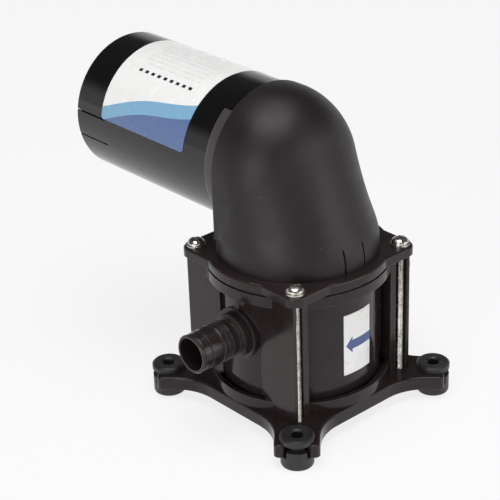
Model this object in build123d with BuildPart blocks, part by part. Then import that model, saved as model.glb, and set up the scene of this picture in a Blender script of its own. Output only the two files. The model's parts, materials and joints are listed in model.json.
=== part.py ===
"""Motor-driven diaphragm pump for shower drains and bilges.

A round pump body stands on a square base with four rubber-mounted forked feet. Two
opposite hose barbs lead to valve chambers under a valve plate. A clamped rubber diaphragm
above the plate is worked by a connecting rod and an eccentric, inside an elbow hood that
turns the drive through a right angle to a horizontal electric motor in a plastic sleeve.

Frame, in millimetres: the origin is the centre of the four-hole mounting pattern, on the
surface that the feet stand on. +Z is up, the motor shaft runs along Y with the motor
towards +Y, the outlet barb points to -X and the inlet barb to +X.
"""

from build123d import *
import os
from math import atan2, cos, degrees, radians, sin, sqrt, tan

os.makedirs("parts", exist_ok=True)

# ---------------------------------------------------------------------------------------
# Driving dimensions
# ---------------------------------------------------------------------------------------

# Base plate and feet
foot_spacing = 96.8            # between neighbouring mounting holes, both ways
foot_rise = 6.3                # from the floor to the underside of the base plate
base_thickness = 6.9
base_half_width = 45.8
arm_half_width = 11.3
arm_tip_reach = 5.3            # how far the fork prongs pass the mounting hole
arm_flare_radius = 27.0
fork_half_gap = 5.2
foot_bore_r = 3.1
foot_flange_r = 8.25
foot_cap_r = 8.5
foot_cap_height = 3.6
foot_fill_height = 3.7         # rubber between the prongs, above the plate's underside
foot_fill_start = 4.0          # where that rubber begins, outwards from the hole

# Pump body
body_height = 64.9             # underside to the diaphragm seat
wall_r = 41.0
chamber_r = 36.0               # pumping chamber, above the valve plate
ledge_r = 33.0                 # valve chambers, below the valve plate
chamber_depth = 16.9           # diaphragm seat down to the underside of the valve plate
foot_ring_r = 45.8
foot_ring_height = 6.0
moat_depth = 3.0
head_ring_r = 46.6
head_ring_height = 5.5
divider_thickness = 3.0

# Corner pillars, tie screws and the square part of the head
tie_pitch = 72.0
tie_screw_r = 2.1
tie_head_r = 4.3
tie_head_height = 2.8
tie_washer_r = 5.0
tie_washer_thickness = 1.0
ear_r = 6.4
pillar_inner_reach = 14.5
pillar_rib_reach = 36.7        # the tie screws stand proud of the rib beside them
pillar_wall_reach = 38.9       # the outer wall of a channel covers half of its screw
pillar_wall = 1.7
pillar_rib = 3.8
channel_gap_out = 2.3          # screw's centre to the channel's outer wall
channel_gap_in = 3.5           # screw's centre to the rib on its inner side

# Ports
port_reach = 72.1              # centre of the pump to the mouth of a barb
barb_r = 9.95
barb_wall = 1.55
port_drop = 0.75               # top of a barb down from the underside of the valve plate
port_flange_step = 1.5         # how far the flange and the boss stand out past the barb
port_flange_thickness = 3.0
port_boss_step = 3.65
port_boss_reach = 43.0
port_seal_thickness = 0.8
port_spigot_length = 6.5

# Valves
valve_plate_thickness = 4.0
flap_r = 9.5
flap_thickness = 2.0
flap_offset = 16.0             # pump centre to flap centre
hinge_offset = 4.6             # pump centre to a flap's hinge
hinge_bead_r = 1.0
hinge_bead_half_length = 6.8
keeper_height = 3.6
keeper_half_length = 13.0
small_screw_r = 1.3
small_head_r = 2.4
small_head_height = 1.5

# Diaphragm and its plates
diaphragm_thickness = 1.2
diaphragm_rim_inset = 1.0
diaphragm_roll_r = 3.6
head_opening_r = 35.0
clamp_plate_r = 23.0
clamp_plate_thickness = 3.0
clamp_screw_r = 2.5
top_plate_thickness = 4.9
spigot_height = 3.0

# Drive
sleeve_lift = 6.1              # gap between the motor's sleeve and the head
shaft_r = 4.0
throw = 2.5                    # eccentric offset; the diaphragm's stroke is twice this
bearing_outer_r = 11.0
bearing_ball_r = 1.9
bearing_width = 7.0
rod_eye_wall = 4.0
rod_foot_r = 9.0
rod_foot_height = 4.0
rod_shank_width = 12.0
rod_shank_depth = 6.0
hub_r = 9.0
counterweight_r = 15.0
hub_gap = 1.0                  # between the rod's eye and the eccentric's web
web_thickness = 4.2
hub_length = 6.0

# Hood
hood_skirt_height = 9.0
hood_wall = 3.2
skirt_wall = 3.0
rear_wall_step = 0.2           # the rear wall stands this much inside the elbow's side
hood_mouth_y = 19.0
hood_mouth_step = 1.5          # how far the mouth stands out past the sleeve
hood_lip_step = 0.8
elbow_inner_r = 0.6            # round in the elbow's inner corner, above the skirt
hood_lean = 24.0               # backward lean of the front wall, in degrees
hood_lean_rise = 51.0          # height of the leaning wall above the skirt
hood_steps = 9                 # equal turns between the sections that shape the elbow
hood_lip_length = 6.5
hood_lip_open_angle = 37.0     # half of the gap in the lip, measured from the top
hood_end_wall = 3.0
tongue_half_width = 6.4
tongue_height = 12.5
slit_width = 0.9

# Motor and sleeve
sleeve_r = 36.8
sleeve_wall = 2.4
sleeve_end_y = 128.5
sleeve_slit_length = 24.0
mount_plate_thickness = 3.0
mount_plate_y = 12.0
motor_r = 33.0
can_wall = 2.0
bell_thickness = 8.0
can_length = 85.0
rear_bell_thickness = 10.0
magnet_thickness = 5.5
magnet_length = 60.0
air_gap = 0.8
core_length = 52.0
slot_count = 12
slot_r = 2.6
commutator_r = 10.0
commutator_length = 10.0
brush_width = 6.0
brush_length = 11.0
bushing_r = 6.5
cap_thickness = 6.0
cap_recess = 1.0
gland_bore_r = 3.6
gland_r = 8.0

# Labels
label_thickness = 0.15
motor_label_start_y = 42.5
motor_label_width = 65.0
motor_label_half_angle = 81.5
flow_label_width = 18.4
flow_label_height = 33.6
flow_label_lift = 15.1         # from the underside of the body to the label's lower edge

# Clearances
running = 0.05                 # radial, for a shaft or pin that turns in a hole
slip = 0.2                     # radial, for a piece that slides into another
hole_clearance = 0.25          # radial, round a screw

# ---------------------------------------------------------------------------------------
# Levels and places that follow from them
# ---------------------------------------------------------------------------------------

base_top = foot_rise + base_thickness
seat_z = base_top + body_height                      # where the diaphragm's rim is clamped
rim_top = seat_z + diaphragm_thickness
head_top = rim_top + top_plate_thickness
ledge_height = body_height - chamber_depth           # underside of the body to the valves
ledge_z = base_top + ledge_height
valve_top = ledge_z + valve_plate_thickness
port_z = ledge_z - port_drop - barb_r
waterway_r = barb_r - barb_wall
port_flange_r = barb_r + port_flange_step
port_boss_r = barb_r + port_boss_step
shaft_z = head_top + sleeve_lift + sleeve_r
hood_mouth_r = sleeve_r + hood_mouth_step
hood_lip_r = sleeve_r + hood_lip_step
tie_offset = tie_pitch / 2
ear_half_width = tie_offset + ear_r
foot_offset = foot_spacing / 2
foot_radial = foot_offset * sqrt(2)
crank_z = shaft_z - throw                            # eccentric centre, at bottom dead centre
diaphragm_z = seat_z - throw                         # underside of the diaphragm's centre
mount_face_y = mount_plate_y + mount_plate_thickness
can_start_y = mount_face_y + bell_thickness
can_end_y = can_start_y + can_length
motor_end_y = can_end_y + rear_bell_thickness
skirt_top = head_top + hood_skirt_height
corners = [(1, 1), (-1, 1), (-1, -1), (1, -1)]


def finish(builder, name):
    """Label a finished piece and write it to its own file."""
    builder.part.label = name
    export_step(builder.part, f"parts/{name}.step")


def across(y, height=None):
    """Plane square to the shaft at distance y: its x runs along X and its y along -Z."""
    z = shaft_z if height is None else height
    return Plane(origin=(0, y, z), x_dir=(1, 0, 0), z_dir=(0, 1, 0))


def disc(plane, outer_r, inner_r, length, mode=Mode.ADD):
    """A disc or tube that stands on a plane, added to the piece being built."""
    with BuildSketch(plane) as profile:
        Circle(outer_r)
        if inner_r > 0:
            Circle(inner_r, mode=Mode.SUBTRACT)
    extrude(profile.sketch, amount=length, mode=mode)


def turned(outline, plane, axis, mode=Mode.ADD):
    """A closed outline of straight runs, turned about an axis in its plane."""
    with BuildSketch(plane) as profile:
        with BuildLine():
            Polyline(*outline, close=True)
        make_face()
    revolve(profile.sketch, axis=axis, mode=mode)


def upright(outline, x=0, y=0, mode=Mode.ADD):
    """An outline of (radius, z) points turned about a vertical line."""
    plane = Plane(origin=(x, y, 0), x_dir=(1, 0, 0), z_dir=(0, -1, 0))
    turned(outline, plane, Axis((x, y, 0), (0, 0, 1)), mode)


def block(low, high, mode=Mode.ADD):
    """A box between two opposite corners, added to the piece being built."""
    centre = [(a + b) / 2 for a, b in zip(low, high)]
    size = [b - a for a, b in zip(low, high)]
    with Locations(tuple(centre)):
        Box(*size, mode=mode)


def head_outline(ring_r, half_width, corner_r):
    """A ring's circle joined to a square with rounded corners, as one closed face."""
    with BuildSketch() as outline:
        Circle(ring_r)
        RectangleRounded(2 * half_width, 2 * half_width, corner_r)
    return outline.sketch


# ---------------------------------------------------------------------------------------
# Base plate: square, with a forked arm to each mounting grommet
# ---------------------------------------------------------------------------------------

nut_half_flats = 3.5
nut_height = 3.2
seal_groove_depth = 1.0
seal_inner_r = 35.5
seal_outer_r = 38.5

with BuildPart() as base_plate:
    with BuildSketch(Plane.XY.offset(foot_rise)) as base_sketch:
        Rectangle(2 * base_half_width, 2 * base_half_width)
        for turn in (45, 135, 225, 315):
            with Locations(Rot(0, 0, turn) * Pos((foot_radial + arm_tip_reach) / 2, 0)):
                Rectangle(foot_radial + arm_tip_reach, 2 * arm_half_width)
        flare_corners = [
            v for v in base_sketch.vertices()
            if abs(max(abs(v.X), abs(v.Y)) - base_half_width) < 0.01
        ]
        fillet(flare_corners, arm_flare_radius)
        for turn in (45, 135, 225, 315):
            with Locations(Rot(0, 0, turn) * Pos(foot_radial, 0)):
                Circle(fork_half_gap, mode=Mode.SUBTRACT)
            with Locations(Rot(0, 0, turn) * Pos(foot_radial + arm_tip_reach, 0)):
                Rectangle(2 * arm_tip_reach, 2 * fork_half_gap, mode=Mode.SUBTRACT)
        prong_corners = [
            v for v in base_sketch.vertices()
            if abs((abs(v.X) + abs(v.Y)) / sqrt(2) - foot_radial - arm_tip_reach) < 0.01
        ]
        fillet(prong_corners, (arm_half_width - fork_half_gap) * 0.45)
    extrude(amount=base_thickness)
    fillet(base_plate.faces().sort_by(Axis.Z)[-1].outer_wire().edges(), 1.0)
    upright([(seal_inner_r - slip, base_top + 1), (seal_outer_r + slip, base_top + 1),
             (seal_outer_r + slip, base_top - seal_groove_depth),
             (seal_inner_r - slip, base_top - seal_groove_depth)], mode=Mode.SUBTRACT)
    with BuildSketch(Plane.XY.offset(foot_rise)):
        with GridLocations(tie_pitch, tie_pitch, 2, 2):
            Circle(tie_screw_r + hole_clearance)
    extrude(amount=base_thickness, mode=Mode.SUBTRACT)
    with BuildSketch(Plane.XY.offset(foot_rise)):
        with GridLocations(tie_pitch, tie_pitch, 2, 2):
            RegularPolygon(nut_half_flats + slip, 6, major_radius=False)
    extrude(amount=nut_height, mode=Mode.SUBTRACT)
finish(base_plate, "base_plate")

with BuildPart() as base_seal:
    disc(Plane.XY.offset(base_top - seal_groove_depth), seal_outer_r, seal_inner_r,
         seal_groove_depth)
finish(base_seal, "base_seal")

# Rubber grommets: a foot below the plate, a neck in the fork and a cap above it
corner_names = ["back_right", "back_left", "front_left", "front_right"]
for (side_x, side_y), corner in zip(corners, corner_names):
    neck_r = fork_half_gap - slip
    cap_top = base_top + foot_cap_height
    with BuildPart() as grommet:
        upright([(foot_bore_r, 0), (foot_flange_r - 1.0, 0), (foot_flange_r - 0.3, 0.4),
                 (foot_flange_r, 1.2), (foot_flange_r, foot_rise), (neck_r, foot_rise),
                 (neck_r, base_top), (foot_cap_r - 0.3, base_top), (foot_cap_r, base_top + 0.3),
                 (foot_cap_r, cap_top - 0.9), (foot_cap_r - 0.9, cap_top),
                 (foot_bore_r + 1.0, cap_top), (foot_bore_r, cap_top - 0.8)],
                side_x * foot_offset, side_y * foot_offset)
        hole = Pos(side_x * foot_offset, side_y * foot_offset)
        outwards = Rot(0, 0, degrees(atan2(side_y, side_x)))
        with BuildSketch(Plane.XY.offset(foot_rise - 1)):
            with Locations(hole):
                Circle(foot_flange_r)
            with Locations(hole * outwards * Pos(foot_fill_start + foot_flange_r, 0)):
                Rectangle(2 * foot_flange_r, 2 * neck_r, mode=Mode.INTERSECT)
        extrude(amount=foot_fill_height + 1)
    finish(grommet, f"grommet_{corner}")

# ---------------------------------------------------------------------------------------
# Pump body: wall, rings, corner pillars with open screw channels, and port bosses
# ---------------------------------------------------------------------------------------

head_ring_z = seat_z - head_ring_height
pillar_face = tie_offset + channel_gap_out + pillar_wall
channel_floor = tie_offset - tie_screw_r - 0.6
divider_boss_r = 4.5
divider_boss_offset = 22.0
divider_half = divider_thickness / 2

with BuildPart() as pump_body:
    disc(Plane.XY.offset(base_top), wall_r, 0, body_height)
    disc(Plane.XY.offset(base_top), foot_ring_r, 0, foot_ring_height)
    disc(Plane.XY.offset(head_ring_z), head_ring_r, 0, head_ring_height)
    channel_in = tie_offset - channel_gap_in
    channel_out = tie_offset + channel_gap_out
    for side_x, side_y in corners:
        x_low, x_high = sorted((side_x * (channel_in - pillar_rib), side_x * pillar_face))
        y_low, y_high = sorted((side_y * pillar_inner_reach, side_y * pillar_rib_reach))
        block((x_low, y_low, base_top), (x_high, y_high, seat_z))
        x_low, x_high = sorted((side_x * channel_out, side_x * pillar_face))
        y_low, y_high = sorted((side_y * pillar_inner_reach, side_y * pillar_wall_reach))
        block((x_low, y_low, base_top), (x_high, y_high, seat_z))
    for side_x, side_y in corners:
        x_low, x_high = sorted((side_x * channel_in, side_x * channel_out))
        y_low, y_high = sorted((side_y * channel_floor, side_y * (pillar_wall_reach + 1)))
        block((x_low, y_low, base_top), (x_high, y_high, seat_z), mode=Mode.SUBTRACT)
    for side in (-1, 1):
        boss_plane = Plane(origin=(0, 0, port_z), x_dir=(0, 1, 0), z_dir=(side, 0, 0))
        disc(boss_plane, port_boss_r, 0, port_boss_reach)
        with BuildSketch(Plane.XZ.offset(-1.5)):
            with BuildLine():
                Polyline((side * (wall_r - 1), port_z + port_boss_r + 8),
                         (side * port_boss_reach, port_z + port_boss_r - 3),
                         (side * (wall_r - 1), port_z + port_boss_r - 3), close=True)
            make_face()
        extrude(amount=3.0)
    upright([(wall_r, base_top + foot_ring_height + 1),
             (wall_r + 2.4, base_top + foot_ring_height + 1),
             (wall_r + 2.4, base_top + foot_ring_height - moat_depth),
             (wall_r, base_top + foot_ring_height - moat_depth)], mode=Mode.SUBTRACT)
    disc(Plane.XY.offset(ledge_z), chamber_r, 0, body_height, mode=Mode.SUBTRACT)
    disc(Plane.XY.offset(base_top), ledge_r, 0, ledge_height, mode=Mode.SUBTRACT)
    block((-divider_half, -ledge_r - 1, base_top), (divider_half, ledge_r + 1, ledge_z))
    for side in (-1, 1):
        with BuildSketch(Plane.XY.offset(base_top)):
            with Locations((0, side * divider_boss_offset)):
                Circle(divider_boss_r)
        extrude(amount=ledge_height)
        boss_plane = Plane(origin=(side * (ledge_r - 8), 0, port_z), x_dir=(0, 1, 0),
                           z_dir=(side, 0, 0))
        disc(boss_plane, barb_r + slip + 0.3, 0, port_boss_reach, mode=Mode.SUBTRACT)
    with BuildSketch(Plane.XY.offset(ledge_z - 10)):
        with Locations((0, divider_boss_offset), (0, -divider_boss_offset)):
            Circle(small_screw_r)
    extrude(amount=10, mode=Mode.SUBTRACT)
finish(pump_body, "pump_body")

# Hose barbs: a lip, two plain lands, fine ridges, a neck and a flange against the boss
flange_back = port_boss_reach + port_seal_thickness
flange_front = flange_back + port_flange_thickness
ridge_pitch = 2.5
ridge_count = 3
groove = 0.5
first_groove = port_reach - 6.2
second_groove = first_groove - 7.0
spigot_end = port_boss_reach - port_spigot_length


def barb_outline(side):
    """Half section of a hose barb as (x, radius) points, from the mouth inwards."""
    points = [(port_reach, waterway_r), (port_reach, barb_r - 0.5),
              (port_reach - 0.5, barb_r), (port_reach - 1.2, barb_r),
              (port_reach - 1.6, barb_r - 0.4), (port_reach - 2.2, barb_r - 0.2)]
    for place in (first_groove, second_groove):
        points += [(place + 0.5, barb_r), (place + 0.3, barb_r - groove),
                   (place - 0.1, barb_r - groove), (place - 0.3, barb_r)]
    for step in range(ridge_count):
        top = second_groove - 1.0 - step * ridge_pitch
        points += [(top, barb_r + 0.25), (top - 0.9, barb_r + 0.25),
                   (top - 1.2, barb_r - 0.6), (top - ridge_pitch + 0.4, barb_r - 0.6)]
    last = second_groove - 1.0 - ridge_count * ridge_pitch
    points += [(last, barb_r - 0.6), (flange_front + 1.4, barb_r - 0.6),
               (flange_front + 1.2, barb_r + 0.9), (flange_front, barb_r + 0.9),
               (flange_front, port_flange_r), (flange_back, port_flange_r),
               (flange_back, barb_r + 0.3), (spigot_end, barb_r + 0.3),
               (spigot_end, waterway_r)]
    return [(side * x, r) for x, r in points]


port_plane = Plane.XY.offset(port_z)
port_axis = Axis((0, 0, port_z), (1, 0, 0))
for side, name in ((-1, "outlet_port"), (1, "inlet_port")):
    with BuildPart() as hose_port:
        turned(barb_outline(side), port_plane, port_axis)
    finish(hose_port, name)

with BuildPart() as port_seals:
    for side in (-1, 1):
        seal_plane = Plane(origin=(side * port_boss_reach, 0, port_z), x_dir=(0, 1, 0),
                           z_dir=(side, 0, 0))
        disc(seal_plane, port_flange_r - 0.3, barb_r + 0.6, port_seal_thickness)
finish(port_seals, "port_seals")

# ---------------------------------------------------------------------------------------
# Valve plate, two rubber flaps, their keepers and screws
# ---------------------------------------------------------------------------------------

window_r = 2.4
window_circle_r = 5.2
bead_gap = 0.15
inlet_hinge_z = valve_top + bead_gap + hinge_bead_r
outlet_hinge_z = ledge_z - bead_gap - hinge_bead_r
keeper_screw_offset = 10.6
keeper_depth = 5.4
keeper_web = 1.3

with BuildPart() as valve_plate:
    disc(Plane.XY.offset(ledge_z), chamber_r - slip, 0, valve_plate_thickness)
    with BuildSketch(Plane.XY.offset(ledge_z)):
        for side in (-1, 1):
            with Locations((side * flap_offset, 0)):
                with PolarLocations(window_circle_r, 6):
                    Circle(window_r)
    extrude(amount=valve_plate_thickness, mode=Mode.SUBTRACT)
    with BuildSketch(Plane.XY.offset(ledge_z)):
        with Locations((0, divider_boss_offset), (0, -divider_boss_offset)):
            Circle(small_screw_r + hole_clearance)
    extrude(amount=valve_plate_thickness, mode=Mode.SUBTRACT)
    for side, low in ((1, valve_top - 3.2), (-1, ledge_z)):
        with BuildSketch(Plane.XY.offset(low)):
            with Locations((side * hinge_offset, keeper_screw_offset),
                           (side * hinge_offset, -keeper_screw_offset)):
                Circle(small_screw_r)
        extrude(amount=3.2, mode=Mode.SUBTRACT)
finish(valve_plate, "valve_plate")

for side, name, hinge_z, face_z in ((1, "inlet_flap", inlet_hinge_z, valve_top),
                                    (-1, "outlet_flap", outlet_hinge_z, ledge_z)):
    with BuildPart() as flap:
        low = face_z + 0.1 if side > 0 else face_z - 0.1 - flap_thickness
        with BuildSketch(Plane.XY.offset(low)):
            with Locations((side * flap_offset, 0)):
                Circle(flap_r)
            with Locations((side * (hinge_offset + flap_offset) / 2, 0)):
                Rectangle(flap_offset - hinge_offset, 9.0)
        extrude(amount=flap_thickness)
        bead_plane = Plane(origin=(side * hinge_offset, -hinge_bead_half_length, hinge_z),
                           x_dir=(1, 0, 0), z_dir=(0, 1, 0))
        disc(bead_plane, hinge_bead_r, 0, 2 * hinge_bead_half_length)
    finish(flap, name)

for side, name, hinge_z, face_z in ((1, "inlet_keeper", inlet_hinge_z, valve_top),
                                    (-1, "outlet_keeper", outlet_hinge_z, ledge_z)):
    z_low, z_high = sorted((face_z, face_z + side * keeper_height))
    x_low, x_high = sorted((side * (hinge_offset - keeper_depth / 2),
                            side * (hinge_offset + keeper_depth / 2)))
    cut_low, cut_high = sorted((side * (hinge_offset - keeper_depth / 2 + keeper_web),
                                side * (hinge_offset + keeper_depth)))
    with BuildPart() as keeper:
        block((x_low, -keeper_half_length, z_low), (x_high, keeper_half_length, z_high))
        block((cut_low, -5.2, z_low), (cut_high, 5.2, z_high), mode=Mode.SUBTRACT)
        bead_plane = Plane(origin=(side * hinge_offset, -hinge_bead_half_length - slip,
                                   hinge_z), x_dir=(1, 0, 0), z_dir=(0, 1, 0))
        disc(bead_plane, hinge_bead_r + running, 0, 2 * (hinge_bead_half_length + slip),
             mode=Mode.SUBTRACT)
        with BuildSketch(Plane.XY.offset(z_low)):
            with Locations((side * hinge_offset, keeper_screw_offset),
                           (side * hinge_offset, -keeper_screw_offset)):
                Circle(small_screw_r + hole_clearance)
        extrude(amount=keeper_height, mode=Mode.SUBTRACT)
    finish(keeper, name)


def small_screw(x, y, seat, length, side):
    """A small pan-head screw: its seat level, its length below it, and the way it faces."""
    upright([(0, seat + side * small_head_height),
             (small_head_r - 0.6, seat + side * small_head_height),
             (small_head_r, seat + side * (small_head_height - 0.6)), (small_head_r, seat),
             (small_screw_r, seat), (small_screw_r, seat - side * length),
             (0, seat - side * length)], x, y)


with BuildPart() as keeper_screws:
    for side, face_z in ((1, valve_top), (-1, ledge_z)):
        for end in (-1, 1):
            small_screw(side * hinge_offset, end * keeper_screw_offset,
                        face_z + side * keeper_height, keeper_height + 3.0, side)
finish(keeper_screws, "keeper_screws")

with BuildPart() as valve_plate_screws:
    for end in (-1, 1):
        small_screw(0, end * divider_boss_offset, valve_top, valve_plate_thickness + 9, 1)
finish(valve_plate_screws, "valve_plate_screws")

# ---------------------------------------------------------------------------------------
# Diaphragm, its two clamp plates and the centre screw
# ---------------------------------------------------------------------------------------

roll_outer_r = head_opening_r - 1.2
roll_centre_r = roll_outer_r - diaphragm_roll_r
roll_inner_r = roll_centre_r - diaphragm_roll_r
diaphragm_top = diaphragm_z + diaphragm_thickness
lower_plate_z = diaphragm_z - clamp_plate_thickness
upper_plate_top = diaphragm_top + clamp_plate_thickness
roll_crest = rim_top + diaphragm_roll_r - diaphragm_thickness / 2

with BuildPart() as main_diaphragm:
    with BuildSketch(Plane.XZ) as diaphragm_section:
        with BuildLine():
            Line((clamp_screw_r + slip, diaphragm_z), (roll_inner_r, diaphragm_z))
            ThreePointArc((roll_inner_r, diaphragm_z),
                          (roll_centre_r, roll_crest - diaphragm_thickness),
                          (roll_outer_r, seat_z))
            Line((roll_outer_r, seat_z), (head_ring_r - diaphragm_rim_inset, seat_z))
            Line((head_ring_r - diaphragm_rim_inset, seat_z),
                 (head_ring_r - diaphragm_rim_inset, rim_top))
            Line((head_ring_r - diaphragm_rim_inset, rim_top), (roll_outer_r + 1.0, rim_top))
            ThreePointArc((roll_outer_r + 1.0, rim_top), (roll_centre_r, roll_crest),
                          (roll_inner_r - 1.0, diaphragm_top))
            Line((roll_inner_r - 1.0, diaphragm_top), (clamp_screw_r + slip, diaphragm_top))
            Line((clamp_screw_r + slip, diaphragm_top), (clamp_screw_r + slip, diaphragm_z))
        make_face()
    revolve(axis=Axis.Z)
    with BuildSketch(Plane.XY.offset(seat_z)):
        with GridLocations(tie_pitch, tie_pitch, 2, 2):
            Circle(tie_screw_r + 3 * hole_clearance)
    extrude(amount=diaphragm_thickness, mode=Mode.SUBTRACT)
finish(main_diaphragm, "main_diaphragm")

screw_sink_r = clamp_screw_r * 1.9
with BuildPart() as diaphragm_lower_plate:
    upright([(clamp_screw_r + slip, diaphragm_z), (clamp_plate_r, diaphragm_z),
             (clamp_plate_r, diaphragm_z - 1.6), (clamp_plate_r - 1.4, lower_plate_z),
             (screw_sink_r, lower_plate_z),
             (clamp_screw_r + slip, lower_plate_z + screw_sink_r - clamp_screw_r - slip)])
finish(diaphragm_lower_plate, "diaphragm_lower_plate")

with BuildPart() as diaphragm_upper_plate:
    upright([(clamp_screw_r + slip, diaphragm_top), (clamp_plate_r - 1.2, diaphragm_top),
             (clamp_plate_r, diaphragm_top + 1.2), (clamp_plate_r, upper_plate_top - 0.6),
             (clamp_plate_r - 0.6, upper_plate_top), (clamp_screw_r + slip, upper_plate_top)])
finish(diaphragm_upper_plate, "diaphragm_upper_plate")

clamp_screw_top = upper_plate_top + 12.0
with BuildPart() as diaphragm_screw:
    upright([(0, lower_plate_z), (screw_sink_r, lower_plate_z),
             (clamp_screw_r, lower_plate_z + screw_sink_r - clamp_screw_r),
             (clamp_screw_r, clamp_screw_top), (0, clamp_screw_top)])
finish(diaphragm_screw, "diaphragm_screw")

# ---------------------------------------------------------------------------------------
# Connecting rod and its ball bearing, drawn at bottom dead centre
# ---------------------------------------------------------------------------------------

rod_half_width = bearing_width / 2
eye_r = bearing_outer_r + rod_eye_wall
rod_foot_top = upper_plate_top + rod_foot_height
race_wall = 1.35
ball_circle_r = bearing_outer_r - race_wall - bearing_ball_r - running

with BuildPart() as connecting_rod:
    disc(Plane.XY.offset(upper_plate_top), rod_foot_r, 0, rod_foot_height)
    with BuildSketch(Plane.XY.offset(rod_foot_top - 0.5)):
        RectangleRounded(rod_shank_width + 4, rod_shank_depth, 2.0)
    with BuildSketch(Plane.XY.offset(crank_z - bearing_outer_r - 1.0)):
        RectangleRounded(rod_shank_width, rod_shank_depth, 2.0)
    loft()
    disc(across(-rod_half_width, crank_z), eye_r, 0, bearing_width)
    disc(across(-rod_half_width, crank_z), bearing_outer_r, 0, bearing_width,
         mode=Mode.SUBTRACT)
    disc(Plane.XY.offset(upper_plate_top), clamp_screw_r, 0, 12.5, mode=Mode.SUBTRACT)
finish(connecting_rod, "connecting_rod")

with BuildPart() as rod_bearing_outer_race:
    disc(across(-rod_half_width, crank_z), bearing_outer_r, bearing_outer_r - race_wall,
         bearing_width)
finish(rod_bearing_outer_race, "rod_bearing_outer_race")

with BuildPart() as rod_bearing_inner_race:
    disc(across(-rod_half_width, crank_z), ball_circle_r - bearing_ball_r - running,
         shaft_r, bearing_width)
finish(rod_bearing_inner_race, "rod_bearing_inner_race")

with BuildPart() as rod_bearing_balls:
    with Locations(across(0, crank_z)):
        with PolarLocations(ball_circle_r, 7):
            Sphere(bearing_ball_r)
finish(rod_bearing_balls, "rod_bearing_balls")

# ---------------------------------------------------------------------------------------
# Top plate, tie screws, washers and captive nuts
# ---------------------------------------------------------------------------------------

spigot_r = wall_r - skirt_wall - slip

with BuildPart() as top_plate:
    with BuildSketch(Plane.XY.offset(rim_top)):
        add(head_outline(head_ring_r, ear_half_width, ear_r))
    extrude(amount=top_plate_thickness)
    fillet(top_plate.faces().sort_by(Axis.Z)[-1].outer_wire().edges(), 1.2)
    disc(Plane.XY.offset(head_top), spigot_r, 0, spigot_height)
    disc(Plane.XY.offset(rim_top), head_opening_r, 0, top_plate_thickness + spigot_height,
         mode=Mode.SUBTRACT)
    with BuildSketch(Plane.XY.offset(rim_top)):
        with GridLocations(tie_pitch, tie_pitch, 2, 2):
            Circle(tie_screw_r + hole_clearance)
    extrude(amount=top_plate_thickness, mode=Mode.SUBTRACT)
finish(top_plate, "top_plate")

washer_top = head_top + tie_washer_thickness
head_crown = washer_top + tie_head_height
nut_low = foot_rise + 0.2
with BuildPart() as tie_washers:
    with BuildSketch(Plane.XY.offset(head_top)):
        with GridLocations(tie_pitch, tie_pitch, 2, 2):
            Circle(tie_washer_r)
            Circle(tie_screw_r + hole_clearance, mode=Mode.SUBTRACT)
    extrude(amount=tie_washer_thickness)
finish(tie_washers, "tie_washers")

with BuildPart() as tie_screws:
    for side_x, side_y in corners:
        upright([(0, head_crown), (tie_head_r * 0.55, head_crown),
                 (tie_head_r * 0.85, head_crown - 0.8), (tie_head_r, head_crown - 1.9),
                 (tie_head_r, washer_top), (tie_screw_r, washer_top), (tie_screw_r, nut_low),
                 (0, nut_low)], side_x * tie_offset, side_y * tie_offset)
    for side_x, side_y in corners:
        with Locations(Pos(side_x * tie_offset, side_y * tie_offset, head_crown)
                       * Rot(0, 0, 30 + 55 * side_x * side_y)):
            Box(2 * tie_head_r + 1, 1.3, 2.6, mode=Mode.SUBTRACT)
finish(tie_screws, "tie_screws")

with BuildPart() as tie_nuts:
    with BuildSketch(Plane.XY.offset(nut_low)):
        with GridLocations(tie_pitch, tie_pitch, 2, 2):
            RegularPolygon(nut_half_flats, 6, major_radius=False)
            Circle(tie_screw_r, mode=Mode.SUBTRACT)
    extrude(amount=foot_rise + nut_height - nut_low)
finish(tie_nuts, "tie_nuts")

# ---------------------------------------------------------------------------------------
# Elbow hood: sections turned about the inner corner of the elbow, from skirt to mouth
# ---------------------------------------------------------------------------------------

skirt_chord = sqrt(wall_r ** 2 - (hood_mouth_y - elbow_inner_r) ** 2)
skirt_reach = hood_mouth_y + wall_r
mouth_reach = shaft_z + hood_mouth_r - skirt_top
lean_end = skirt_reach - hood_lean_rise * tan(radians(hood_lean))
crown_r = (mouth_reach - hood_lean_rise) / (1 - sin(radians(hood_lean)))
crown_centre = lean_end - crown_r * cos(radians(hood_lean))


def hood_reach(turn):
    """Distance from the elbow's inner corner to its front profile, at an angle of turn.

    The profile is a wall that leans back, a round crown tangent to it, and a level top.
    """
    lean = tan(radians(hood_lean))
    on_wall = skirt_reach / (cos(turn) + sin(turn) * lean)
    if on_wall * sin(turn) <= hood_lean_rise:
        return on_wall
    crown_height = mouth_reach - crown_r
    along = crown_centre * cos(turn) + crown_height * sin(turn)
    apart = crown_centre ** 2 + crown_height ** 2 - crown_r ** 2
    on_crown = along + sqrt(along ** 2 - apart)
    if on_crown * cos(turn) >= crown_centre:
        return on_crown
    return mouth_reach / sin(turn)


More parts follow.
